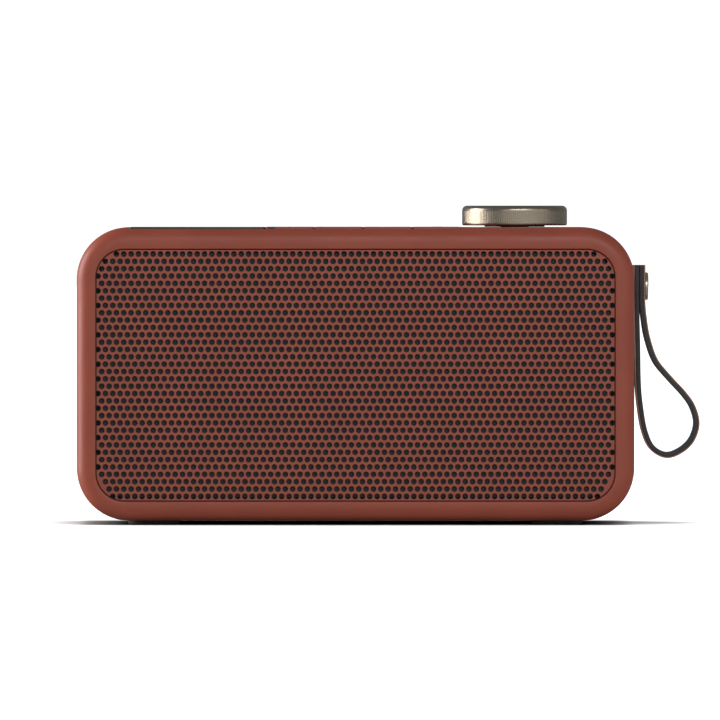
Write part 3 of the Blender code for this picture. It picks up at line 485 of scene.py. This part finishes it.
def make_materials():
    """One material for each slot of the record, and four that only the finer pieces use."""
    stem = middle_of("knob_cap")
    return {
        "shell_plastic": moulded_plastic("shell_plastic", TERRACOTTA, 0.46),
        "key_plastic": moulded_plastic("key_plastic", KEY_TERRACOTTA, 0.42, 0.3 * MM),
        "grille_steel": powder_coat("grille_steel", GRILLE_TERRACOTTA),
        "dark_cloth": woven_cloth("dark_cloth", CLOTH),
        "dark_plastic": moulded_plastic("dark_plastic", BLACK_PLASTIC, 0.5),
        "lens": dark_glass("lens", BLACK_GLASS),
        "champagne_metal": spun_metal("champagne_metal", CHAMPAGNE, stem),
        "bright_metal": plated_metal("bright_metal", CHROME, 0.2, (0.15, 1, 1)),
        "magnet": moulded_plastic("magnet", MAGNET_GREY, 0.45, 0.8 * MM, 0.03 * MM),
        "paper_cone": pressed_paper("paper_cone", BLACK_PAPER),
        "rubber": soft_rubber("rubber", GREY_RUBBER),
        "circuit_board": circuit_board("circuit_board", BOARD_GREEN),
        "cell_wrap": moulded_plastic("cell_wrap", CELL_BLUE, 0.35, 1 * MM, 0.01 * MM),
        "wire": soft_rubber("wire", WIRE_RED),
        "strap_leather": leather("strap_leather", LEATHER, 0.5, 0.5 * MM, 0.05 * MM),
        "strap_facing": leather("strap_facing", TAN, 0.55),
        "stud_metal": plated_metal("stud_metal", STUD_BRONZE, 0.24),
        "collar_metal": plated_metal("collar_metal", BRONZE, 0.4),
        "key_mark": moulded_plastic("key_mark", PALE_INK, 0.5, 0.2 * MM, 0.01 * MM),
    }


# ---------------------------------------------------------------- mesh tools


def smooth_faces(mesh, angle):
    """Smooth shading, but for edges sharper than the angle in degrees."""
    mesh.shade_smooth()
    mesh.set_sharp_from_angle(angle=math.radians(angle))


def finish_mesh(name, mesh, material, angle=SHARP):
    bm = bmesh.new()
    bm.from_mesh(mesh)
    bmesh.ops.recalc_face_normals(bm, faces=bm.faces)
    bm.to_mesh(mesh)
    bm.free()
    smooth_faces(mesh, angle)
    obj = bpy.data.objects.new(name, mesh)
    bpy.context.collection.objects.link(obj)
    if material:
        mesh.materials.append(materials[material])
    return obj


def skin(name, rings, material=None, closed=False, angle=SHARP):
    """A solid over rings that all have the same number of points: capped at both ends, or closed
    round on itself."""
    count = len(rings[0])
    points = [point for ring in rings for point in ring]
    pairs = [(k, k + 1) for k in range(len(rings) - 1)]
    if closed:
        pairs.append((len(rings) - 1, 0))
    faces = []
    for lower, upper in pairs:
        for i in range(count):
            j = (i + 1) % count
            faces.append((lower * count + i, lower * count + j, upper * count + j, upper * count + i))
    if not closed:
        last = (len(rings) - 1) * count
        faces.append(tuple(range(count)))
        faces.append(tuple(range(last + count - 1, last - 1, -1)))
    mesh = bpy.data.meshes.new(name)
    mesh.from_pydata(points, [], faces)
    return finish_mesh(name, mesh, material, angle)


def rounded(width, height, radius, inset, centre, steps):
    """A rounded rectangle's points. An inset keeps the corners' centres and makes them tighter."""
    reach = radius - inset
    half_width, half_height = width / 2 - radius, height / 2 - radius
    points = []
    for corner in range(4):
        side = 1 if corner in (0, 3) else -1
        level = 1 if corner in (0, 1) else -1
        for step in range(steps + 1):
            angle = (corner + step / steps) * math.pi / 2
            u = centre[0] + side * half_width + reach * math.cos(angle)
            v = centre[1] + level * half_height + reach * math.sin(angle)
            points.append((u, v))
    return points


def facing_y(points, y):
    return [(u, y, v) for u, v in points]


def facing_z(points, z):
    return [(u, v, z) for u, v in points]


def roll(edge, steps):
    """(inset, depth) pairs round a quarter-round edge, from the side to the face."""
    angles = [math.pi / 2 * step / steps for step in range(steps + 1)]
    return [(edge * (1 - math.cos(a)), edge * (1 - math.sin(a))) for a in angles]


def lathe(name, profile, base, axis, material, steps=64, closed=False):
    """(radius, height) points turned about the axis through base."""
    turn = Vector(axis).to_track_quat("Z", "Y").to_matrix()
    rings = []
    for radius, height in profile:
        ring = []
        for step in range(steps):
            angle = 2 * math.pi * step / steps
            local = Vector((radius * math.cos(angle), radius * math.sin(angle), height))
            ring.append(Vector(base) + turn @ local)
        rings.append(ring)
    return skin(name, rings, material, closed=closed)


def block(low, high):
    """A plain box between two corners, to be joined to a piece or cut from it."""
    corners = [(low[0], low[1]), (high[0], low[1]), (high[0], high[1]), (low[0], high[1])]
    return prism(corners, low[2], high[2])


def prism(outline, low, high):
    """An outline seen from above, given height from low to high, to be joined or cut."""
    return skin("prism", [facing_z(outline, low), facing_z(outline, high)])


def rod(radius, start, end):
    """A plain cylinder between two points, to be joined or cut."""
    start, end = Vector(start), Vector(end)
    length = (end - start).length
    return lathe("rod", [(radius, 0), (radius, length)], start, end - start, None, ROD_SIDES)


def carve(obj, cutters, joined=()):
    """Joins and cuts with exact Booleans, and keeps the result as the object's own mesh."""
    others = [("UNION", other) for other in joined] + [("DIFFERENCE", other) for other in cutters]
    for operation, other in others:
        boolean = obj.modifiers.new("boolean", "BOOLEAN")
        boolean.operation = operation
        boolean.object = other
    graph = bpy.context.evaluated_depsgraph_get()
    mesh = bpy.data.meshes.new_from_object(obj.evaluated_get(graph))
    obj.modifiers.clear()
    uncut = obj.data
    obj.data = mesh
    bpy.data.meshes.remove(uncut)
    mesh.name = obj.name
    for _, other in others:
        bpy.data.objects.remove(other)
    smooth_faces(mesh, SHARP)
    return obj


def stand_in(obj, body, *cad):
    """Puts the piece on its body in place of the CAD nodes it stands for."""
    if cad:
        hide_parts(*cad)
    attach(obj, body)


def middle_of(name):
    low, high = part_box(name)
    return (low + high) / 2


# ---------------------------------------------------------------- case


def case_ring(inset, y):
    return facing_y(rounded(WIDTH, HEIGHT, CORNER, inset, (0, MIDDLE), CASE_STEPS), y)


def opening_ring(inset, y):
    """The front opening's outline: the grille's, and the gap round it."""
    low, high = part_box("front_grille")
    middle = (low + high) / 2
    size = high - low
    margin = GRILLE_MARGIN - inset
    width, height = size.x + 2 * margin, size.z + 2 * margin
    corner = GRILLE_CORNER + margin
    return facing_y(rounded(width, height, corner, 0, (middle.x, middle.z), CASE_STEPS), y)


def inner_roll(steps):
    """(inset, depth) pairs over the rounded lip of the front opening, from the face inwards."""
    angles = [math.pi / 2 * step / steps for step in range(steps + 1)]
    return [(LIP * math.sin(a), LIP * (1 - math.cos(a))) for a in angles]


def top_rectangle(names, margin, corner, front):
    """The outline, seen from above, round those nodes, from that front to the control strip's rear."""
    boxes = [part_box(name) for name in names]
    left = min(low.x for low, _ in boxes)
    right = max(high.x for _, high in boxes)
    centre = ((left + right) / 2, (front + STRIP_REAR) / 2)
    width, length = right - left + 2 * margin, STRIP_REAR - front + 2 * margin
    return rounded(width, length, corner, 0, centre, 8)


def housing():
    """The open-backed shell, with its bosses, the hangers over the control board and every opening."""
    rings = [case_ring(SEAM_INSET, PARTING), case_ring(0, PARTING - SEAM_EDGE)]
    rings += [case_ring(inset, FRONT + depth) for inset, depth in roll(EDGE, 10)]
    rings += [opening_ring(inset - LIP, FRONT + depth) for inset, depth in inner_roll(3)]
    rings += [opening_ring(0, FRONT + FRONT_WALL)]
    rings += [case_ring(WALL, FRONT + FRONT_WALL), case_ring(WALL, PARTING)]
    shell = skin("housing_shell", rings, "shell_plastic", closed=True)
    added = []
    cutters = [prism(foot_outline(name, -GAP), -PAST, FOOT_POCKET) for name in FEET]
    for _, x, z, _ in screws():
        added.append(rod(BOSS_RADIUS, (x, BOSS_START, z), (x, PARTING, z)))
        reach = math.copysign(WIDTH / 2 - WALL / 2, x)
        low = (min(x, reach), BOSS_START + MM, z - MM)
        added.append(block(low, (max(x, reach), PARTING - MM, z + MM)))
        cutters.append(rod(BORE_RADIUS, (x, BORE_START, z), (x, PARTING + PAST, z)))
    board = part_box("control_board")[1].z + GAP
    for x, y in HANGERS:
        added.append(rod(HANGER_RADIUS, (x, y, board), (x, y, CASE_HIGH.z - WALL / 2)))
    carve(shell, [*cutters, *top_cutters(), stud_cutter()], added)
    stand_in(shell, "case", "main_housing")


def top_cutters():
    """The control strip's pocket, the display's window, the keys' well and the knob's hole."""
    top = CASE_HIGH.z
    below, above = top - PAST, top + PAST
    corner = STRIP_CORNER + STRIP_CLEARANCE
    strip = ("display_window", *KEYS)
    pocket = top_rectangle(strip, STRIP_CLEARANCE, corner, POCKET_FRONT)
    window = top_rectangle(("display_window",), WINDOW_MARGIN, WINDOW_CORNER, WELL_FRONT)
    well = top_rectangle(KEYS, STRIP_CLEARANCE, corner, WELL_FRONT)
    stem = middle_of("knob_cap")
    return [
        prism(pocket, top - STRIP_POCKET, above),
        prism(window, below, above),
        prism(well, below, above),
        rod(KNOB_HOLE, (stem.x, stem.y, below), (stem.x, stem.y, above)),
    ]


def stud_cutter():
    side, z = CASE_HIGH.x, middle_of("strap_stud").z
    return rod(STUD_HOLE, (side - PAST, 0, z), (side + PAST, 0, z))


def foot_outline(name, inset):
    low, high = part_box(name)
    centre = ((low.x + high.x) / 2, (low.y + high.y) / 2)
    return rounded(high.x - low.x, high.y - low.y, FOOT_CORNER, inset, centre, FOOT_STEPS)


def feet():
    for name in FEET:
        low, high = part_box(name)
        rings = [facing_z(foot_outline(name, 0), high.z)]
        for inset, depth in roll(FOOT_EDGE, 5):
            rings.append(facing_z(foot_outline(name, inset), low.z + depth))
        stand_in(skin(name.replace("foot", "pad"), rings, "rubber"), "case", name)


def screws():
    """The name, x, z and head's y of each rear screw."""
    found = []
    for name in nodes:
        if name.startswith("rear_screw"):
            centre = middle_of(name)
            found.append((name, centre.x, centre.z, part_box(name)[1].y))
    return found


def rear_cover():
    """The back, with posts for its screws, standoffs for the main board and a step for the aerial."""
    start, inner = PARTING + GAP, REAR - WALL / 2
    rings = [case_ring(WALL, REAR - WALL), case_ring(WALL, start)]
    rings += [case_ring(SEAM_INSET, start), case_ring(0, start + SEAM_EDGE)]
    rings += [case_ring(inset, REAR - depth) for inset, depth in roll(EDGE, 10)]
    shell = skin("back_shell", rings, "shell_plastic")
    added, cutters = [], []
    for _, x, z, head in screws():
        added.append(rod(POST_RADIUS, (x, start, z), (x, inner, z)))
        cutters.append(rod(HEAD_HOLE, (x, head - HEAD_DEPTH, z), (x, REAR + PAST, z)))
        cutters.append(rod(BORE_RADIUS, (x, start - PAST, z), (x, REAR, z)))
    for x, z in STANDOFFS:
        added.append(rod(STANDOFF_RADIUS, (x, COVER_LOW.y, z), (x, inner, z)))
    shelf = skin("shelf", [case_ring(WALL / 2, start), case_ring(WALL / 2, inner)])
    below = (WIDTH, REAR + PAST, STEP_FLOOR - STEP_BACKING)
    added.append(carve(shelf, [block((-WIDTH, start - PAST, -PAST), below)]))
    step_low = (-WIDTH, STEP_FRONT, STEP_FLOOR)
    cutters.append(block(step_low, (WIDTH, REAR + PAST, HEIGHT + PAST)))
    centre = (0, middle_of("port_panel").z)
    window = rounded(PORT_WIDTH, PORT_HEIGHT, PORT_CORNER, 0, centre, 8)
    cutters.append(skin("window", [facing_y(window, start - PAST), facing_y(window, REAR + PAST)]))
    pivot = middle_of("aerial_turret")
    pivot_low, pivot_high = (pivot.x, start - PAST, pivot.z), (pivot.x, REAR, pivot.z)
    cutters.append(rod(PIVOT_HOLE, pivot_low, pivot_high))
    carve(shell, cutters, added)
    stand_in(shell, "case", "rear_cover")


def rear_screws():
    """Pan heads with a cross recess."""
    for name, x, z, head in screws():
        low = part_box(name)[0].y
        seat = head - SCREW_CROWN
        profile = [(SCREW_RADIUS * 0.3, low), (SCREW_RADIUS, low + SCREW_POINT), (SCREW_RADIUS, seat)]
        profile += [(SCREW_HEAD * share, seat + height) for share, height in PAN_HEAD]
        profile.append((SCREW_HEAD * 0.15, head))
        screw = lathe(name + "_cross", profile, (x, 0, z), (0, 1, 0), "bright_metal", 32)
        arms = []
        for half_x, half_z in ((CROSS_REACH, CROSS_HALF), (CROSS_HALF, CROSS_REACH)):
            low_corner = (x - half_x, head - CROSS_DEPTH, z - half_z)
            arms.append(block(low_corner, (x + half_x, head + MM, z + half_z)))
        carve(screw, arms)
        stand_in(screw, "case", name)


# ---------------------------------------------------------------- grille


def hole_centres(low, high):
    """Rows half a pitch out of step with each other, top row first."""
    for row in range(HOLE_ROWS):
        z = low.z + FIRST_ROW_UP + (HOLE_ROWS - 1 - row) * HOLE_PITCH
        x = low.x + ROW_STARTS[row % 2]
        while x < high.x + HOLE_RADIUS:
            yield x, z
            x += HOLE_PITCH


def inside_margin(point, half_size, radius):
    """How far a point, measured from the middle, is inside a rounded rectangle."""
    u = abs(point[0]) - (half_size[0] - radius)
    v = abs(point[1]) - (half_size[1] - radius)
    if u > 0 and v > 0:
        return radius - math.hypot(u, v)
    return radius - max(u, v)


def punched_outline(low, high):
    """The sheet's outline and its holes as loops of points in millimetres, and the centre of the hole
    that each point of a whole hole belongs to."""
    width, height = high.x - low.x, high.z - low.z
    middle = ((low.x + high.x) / 2, (low.z + high.z) / 2)
    outline = rounded(width, height, GRILLE_CORNER, 0, middle, 16)
    points = [Vector(point) / MM for point in outline]
    loops = [list(range(len(points)))]
    centre_of = {}
    for x, z in hole_centres(low, high):
        place = (x - middle[0], z - middle[1])
        margin = inside_margin(place, (width / 2, height / 2), GRILLE_CORNER)
        if margin < LEAST_HOLE * HOLE_RADIUS:
            continue
        whole = margin > HOLE_RADIUS + HOLE_EDGE * 1.5
        reach = HOLE_RADIUS + (HOLE_EDGE if whole else 0)
        first = len(points)
        for side in range(HOLE_SIDES):
            angle = 2 * math.pi * (side + 0.5) / HOLE_SIDES
            if whole:
                centre_of[len(points)] = (x, z)
            points.append(Vector((x + reach * math.cos(angle), z + reach * math.sin(angle))) / MM)
        loops.append(list(range(first, len(points))))
    return points, loops, centre_of


def narrowed(place, centre):
    """A point on the rim of a hole's bevel, taken in to the hole itself."""
    share = HOLE_RADIUS / (HOLE_RADIUS + HOLE_EDGE)
    return tuple(c + (p - c) * share for p, c in zip(place, centre))


def rim_of(triangles):
    """The sides that belong to one triangle only."""
    sides = set()
    for a, b, c in triangles:
        sides.update(((a, b), (b, c), (c, a)))
    return [(start, end) for start, end in sorted(sides) if (end, start) not in sides]


def grille():
    """The sheet, punched right out to its edges. A whole hole has a small bevel at the front."""
    low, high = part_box("front_grille")
    points, loops, centre_of = punched_outline(low, high)
    flat, _, triangles, source, _, within = geometry.delaunay_2d_cdt(points, [], loops, 1, 1e-5, True)
    kept = [triangle for triangle, owners in zip(triangles, within) if owners == [0]]
    vertices, faces, index_of = [], [], {}

    def vertex(level, index):
        """The corner's number at the front, at the foot of the bevel or at the back."""
        if (level, index) not in index_of:
            place = tuple(flat[index] * MM)
            centres = [centre_of[point] for point in source[index] if point in centre_of]
            if level and centres:
                place = narrowed(place, centres[0])
            index_of[level, index] = len(vertices)
            vertices.append((place[0], low.y + (0, HOLE_EDGE, SHEET)[level], place[1]))
        return index_of[level, index]

    for triangle in kept:
        faces.append([vertex(0, i) for i in triangle])
        faces.append([vertex(2, i) for i in reversed(triangle)])
    for start, end in rim_of(kept):
        for level in (0, 1):
            corners = ((level, start), (level + 1, start), (level + 1, end), (level, end))
            faces.append([vertex(depth, index) for depth, index in corners])
    mesh = bpy.data.meshes.new("grille_sheet")
    mesh.from_pydata(vertices, [], faces)
    stand_in(finish_mesh("grille_sheet", mesh, "grille_steel"), "case", "front_grille")


# ---------------------------------------------------------------- top controls


def slab(name, low, high, corner, edge, material, steps=8, edge_steps=4):
    """A plate between two corners, with rounded corners and a rounded top edge."""
    centre = ((low[0] + high[0]) / 2, (low[1] + high[1]) / 2)
    width, length = high[0] - low[0], high[1] - low[1]
    rings = [facing_z(rounded(width, length, corner, 0, centre, steps), low[2])]
    for inset, depth in roll(edge, edge_steps):
        outline = rounded(width, length, corner, inset, centre, steps)
        rings.append(facing_z(outline, high[2] - depth))
    return skin(name, rings, material)


def display():
    lens = slab("display_lens", *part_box("display_window"), STRIP_CORNER, LENS_EDGE, "lens")
    stand_in(lens, "case", "display_window")


def key_works(low, high):
    """What is under a key's plate: its body in the well, the flange that holds it in, and a stem."""
    x, top = (low.x + high.x) / 2, CASE_HIGH.z
    half = (high.x - low.x) / 2 - GAP
    reach = half - GAP
    flange_top = top - WALL - FLANGE_GAP
    flange_low = flange_top - FLANGE
    body_low = (x - half, WELL_FRONT, flange_low + MM)
    body_high = (x + half, STRIP_REAR - GAP, top - BODY_DOWN)
    flange_front, flange_rear = WELL_FRONT - FLANGE_OVERLAP, STRIP_REAR + FLANGE_OVERLAP
    return [
        block(body_low, body_high),
        block((x - reach, flange_front, flange_low), (x + reach, flange_rear, flange_top)),
        rod(KEY_STEM, (x, 0, low.z), (x, 0, flange_top)),
    ]


def painted_shade_inset():
    """A small dark inset at the front corner of the power key: painted shade, standing for the shadowed
    gap beside the display.
    """
    low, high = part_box("power_key")
    inset_low = (low.x + STRIP_CORNER, STRIP_FRONT - INK, high.z - SHADE_INSET_HEIGHT)
    inset_high = (low.x + SHADE_INSET_REACH, STRIP_FRONT + SHADE_INSET_LENGTH, high.z + SHADE_INSET_PROUD)
    shade_inset = slab("painted_shade_inset", inset_low, inset_high, SHADE_INSET_CORNER, SHADE_INSET_EDGE, "lens", 6, 3)
    stand_in(shade_inset, "power_key")


def keys():
    for name in KEYS:
        low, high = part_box(name)
        plate_low = (low.x, STRIP_FRONT, high.z - KEY_PLATE)
        plate_high = (high.x, STRIP_REAR, high.z)
        cap = slab(name + "_cap", plate_low, plate_high, STRIP_CORNER, KEY_EDGE, "key_plastic")
        carve(cap, [], key_works(low, high))
        stand_in(cap, name, name)
        key_mark(name, (low.x + high.x) / 2, high.z)
    painted_shade_inset()


def arc_band(centre, radius, width, start, end, z):
    """Corner points of a thin flat band along an arc, and its faces."""
    points, faces = [], []
    for step in range(ARC_STEPS + 1):
        angle = math.radians(start + (end - start) * step / ARC_STEPS)
        for reach in (radius - width / 2, radius + width / 2):
            u = centre[0] + reach * math.cos(angle)
            v = centre[1] + reach * math.sin(angle)
            points.append((u, v, z))
        if step:
            base = 2 * step
            faces.append((base - 2, base - 1, base + 1, base))
    return points, faces


def bar(centre, size, z):
    u, v = centre
    half_u, half_v = size[0] / 2, size[1] / 2
    corners = [(u - half_u, v - half_v), (u + half_u, v - half_v)]
    corners += [(u + half_u, v + half_v), (u - half_u, v + half_v)]
    return [(a, b, z) for a, b in corners], [(0, 1, 2, 3)]


def key_mark(name, x, top):
    """A plain printed sign on each key: a ring with a bar, a wave, a dot, and three lines."""
    y, z, line, reach = MARK_Y, top + INK, MARK_LINE, MARK_REACH
    if name == "power_key":
        parts = [arc_band((x, y), reach, line, 125, 415, z)]
        parts.append(bar((x, y + reach * 0.75), (line, reach * 1.1), z))
    elif name == "source_key":
        parts = [arc_band((x, y - reach), r * reach, line, 45, 135, z) for r in (1, 1.6, 2.2)]
    elif name == "preset_key":
        parts = [arc_band((x, y), reach, line, 0, 360, z)]
        parts.append(arc_band((x, y), reach * 0.25, reach * 0.5, 0, 360, z))
    else:
        parts = [bar((x, y + k * reach * 0.7), (2 * reach, line), z) for k in (-1, 0, 1)]
    points, faces = [], []
    for part_points, part_faces in parts:
        first = len(points)
        points += part_points
        faces += [tuple(first + i for i in face) for face in part_faces]
    mesh = bpy.data.meshes.new(name + "_mark")
    mesh.from_pydata(points, [], faces)
    mark = finish_mesh(name + "_mark", mesh, "key_mark")
    thick = mark.modifiers.new("ink", "SOLIDIFY")
    thick.thickness = 2 * INK
    stand_in(mark, name)


def knob():
    """A turned cap with fine upright grooves round its side."""
    low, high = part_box("knob_cap")
    centre = (low + high) / 2
    radius = (high.x - low.x) / 2
    inner, shoulder, skirt = radius - KNOB_WALL, high.z - KNOB_EDGE, low.z + KNOB_FOOT
    profile = [(0.4 * MM, high.z, 0), (radius * 0.45, high.z, 0), (radius - KNOB_EDGE * 1.6, high.z, 0)]
    profile += [(radius - inset, high.z - depth, 0) for inset, depth in reversed(roll(KNOB_EDGE, 8))]
    profile += [(radius, shoulder - GROOVE_FADE, 1), (radius, skirt + GROOVE_FADE, 1), (radius, skirt, 0)]
    profile += [(radius - inset, low.z + depth, 0) for inset, depth in roll(KNOB_FOOT, 4)[1:]]
    profile += [(inner, low.z, 0), (inner, high.z - KNOB_WALL, 0)]
    count = GROOVES * GROOVE_SAMPLES
    rings = []
    for reach, z, grooved in profile:
        ring = []
        for step in range(count):
            angle = 2 * math.pi * step / count
            r = reach - GROOVE_DEPTH * grooved * (step % GROOVE_SAMPLES == 0)
            ring.append((centre.x + r * math.cos(angle), centre.y + r * math.sin(angle), z))
        rings.append(ring)
    cap = skin("knob_grooved", rings, "champagne_metal", angle=KNOB_SHARP)
    stand_in(cap, "knob", "knob_cap")


# ---------------------------------------------------------------- strap and aerial


def smooth(points, steps):
    """A Catmull-Rom curve through the points, with that many steps between each pair."""
    vectors = [Vector(p) for p in points]
    padded = [2 * vectors[0] - vectors[1], *vectors, 2 * vectors[-1] - vectors[-2]]
    found = []
    for before, start, end, after in zip(padded, padded[1:], padded[2:], padded[3:]):
        for step in range(steps):
            t = step / steps
            found.append(
                0.5
                * (
                    2 * start
                    + (end - before) * t
                    + (2 * before - 5 * start + 4 * end - after) * t**2
                    + (3 * start - before - 3 * end + after) * t**3
                )
            )
    return [*found, vectors[-1]]


def strap_route():
    """(x, z) along the middle of the strap's thickness: down the case's side, round, and up again."""
    strap_low, strap_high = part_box("carry_strap")
    inner = strap_low.x + STRAP_THICKNESS / 2
    outer = inner + STRAP_THICKNESS + STRAP_END_GAP
    top = strap_high.z
    route = [(inner, top), (inner, 75 * MM), (96.45 * MM, 60 * MM), (96.7 * MM, 46.7 * MM)]
    route += [(97.45 * MM, 38.4 * MM), (98.9 * MM, 30.3 * MM), (101.5 * MM, 24.6 * MM)]
    route += [(106.2 * MM, 21.9 * MM), (111.0 * MM, 23.3 * MM), (115.0 * MM, 27.0 * MM)]
    route += [(116.8 * MM, 32.6 * MM), (115.4 * MM, 38.4 * MM), (112.2 * MM, 43.1 * MM)]
    route += [(107.5 * MM, 48.2 * MM), (102.6 * MM, 54.3 * MM), (99.9 * MM, 62.0 * MM)]
    route += [(98.75 * MM, 68.6 * MM), (outer, 75 * MM), (outer, top)]
    return smooth([(x, 0, z) for x, z in route], 10)


def swept(name, line, section, material):
    """The section carried along the line. Its points are (across the strap, outwards from it)."""
    rings = []
    for index, point in enumerate(line):
        before, after = line[max(index - 1, 0)], line[min(index + 1, len(line) - 1)]
        along = (after - before).normalized()
        outward = Vector((along.z, 0, -along.x))
        rings.append([point + Vector((0, across, 0)) + outward * out for across, out in section])
    return skin(name, rings, material, angle=STRAP_SHARP)


def strap():
    """A black core with a tan facing on the outer side of the loop, creased along both edges."""
    low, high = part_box("carry_strap")
    half = (high.y - low.y) / 2
    line = strap_route()
    back, front = -STRAP_THICKNESS / 2, STRAP_THICKNESS / 2
    core_height = STRAP_THICKNESS - STRAP_FACING
    core = rounded(2 * half, core_height, STRAP_CORNER, 0, (0, back + core_height / 2), 6)
    stand_in(swept("strap_core", line, core, "strap_leather"), "strap", "carry_strap")
    edge, width, seam = FACING_EDGE, half - FACING_INSET, front - STRAP_FACING
    section = [(-width, seam), (width, seam), (width, front - edge), (width - edge, front)]
    for side in (1, -1):
        middle = side * (half - CREASE_IN)
        section += [(middle + CREASE_HALF, front), (middle, front - CREASE_DEPTH)]
        section += [(middle - CREASE_HALF, front)]
    section += [(-(width - edge), front), (-width, front - edge)]
    face = swept("strap_face", line, section, "strap_facing")
    stand_in(face, "strap")


def stud():
    """A flat-domed head on a shank."""
    low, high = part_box("strap_stud")
    centre = (low + high) / 2
    seat, flat = high.x - STUD_HEAD, STUD_RADIUS - STUD_EDGE
    start = high.x - STUD_EDGE - STUD_DOME
    angles = [math.pi / 2 * k / 6 for k in range(6)]
    profile = [(STUD_SHANK, low.x), (STUD_SHANK, seat), (STUD_RADIUS, seat)]
    profile += [(flat + STUD_EDGE * math.cos(a), start + STUD_EDGE * math.sin(a)) for a in angles]
    profile += [(STUD_RADIUS * 0.72, high.x - STUD_DOME / 3), (STUD_RADIUS * 0.3, high.x)]
    profile += [(STUD_RADIUS * 0.05, high.x)]
    head = lathe("stud_head", profile, (0, centre.y, centre.z), (1, 0, 0), "stud_metal")
    stand_in(head, "case", "strap_stud")


def aerial():
    """Drawn tubes with a rolled rim at each mouth, the last one solid, and a turned tip."""
    bodies = ("aerial_second", "aerial_third", "aerial_fourth", "aerial_fifth")
    tip_low, tip_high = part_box("aerial_tip")
    axis_y, axis_z = (tip_low.y + tip_high.y) / 2, (tip_low.z + tip_high.z) / 2
    base = (0, axis_y, axis_z)
    for number, body in enumerate(bodies, 2):
        low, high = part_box(f"aerial_section_{number}")
        radius = (high.z - low.z) / 2
        hollow = body != bodies[-1]
        inner = radius - TUBE_WALL if hollow else radius * 0.3
        profile = [(inner, low.x), (radius, low.x), (radius, high.x - TUBE_RIM)]
        profile += [(radius - TUBE_RIM * 0.3, high.x - TUBE_RIM * 0.3), (radius - TUBE_RIM, high.x)]
        profile += [(inner, high.x)]
        name = f"aerial_tube_{number}"
        tube = lathe(name, profile, base, (1, 0, 0), "bright_metal", TUBE_SIDES, closed=hollow)
        stand_in(tube, body, f"aerial_section_{number}")
    reach = (tip_high.z - tip_low.z) / 2
    dome = (tip_high.x - tip_low.x) * (1 - TIP_STRAIGHT)
    profile = [(reach * 0.55, tip_low.x), (reach * 0.9, tip_low.x + 0.3 * MM)]
    profile += [(reach, tip_low.x + 0.7 * MM), (reach, tip_high.x - dome)]
    for k in range(1, 7):
        angle = math.pi / 2 * k / 7
        profile.append((reach * math.cos(angle), tip_high.x - dome + dome * math.sin(angle)))
    profile.append((reach * 0.08, tip_high.x))
    tip = lathe("aerial_button", profile, base, (1, 0, 0), "bright_metal", TUBE_SIDES)
    stand_in(tip, "aerial_fifth", "aerial_tip")


# ---------------------------------------------------------------- what stays as the CAD made it


def dress_cad():
    """Every CAD node gets the material of its slot in the record."""
    for entry in frame["record"]["subparts"]:
        mesh = nodes[entry["node"]].data
        mesh.materials.clear()
        slot = "collar_metal" if entry["node"] == "knob_collar" else entry["material_slot"]
        mesh.materials.append(materials[slot])


camera()
studio()
floor()
materials = make_materials()
dress_cad()
housing()
rear_cover()
rear_screws()
feet()
grille()
display()
keys()
knob()
strap()
stud()
aerial()
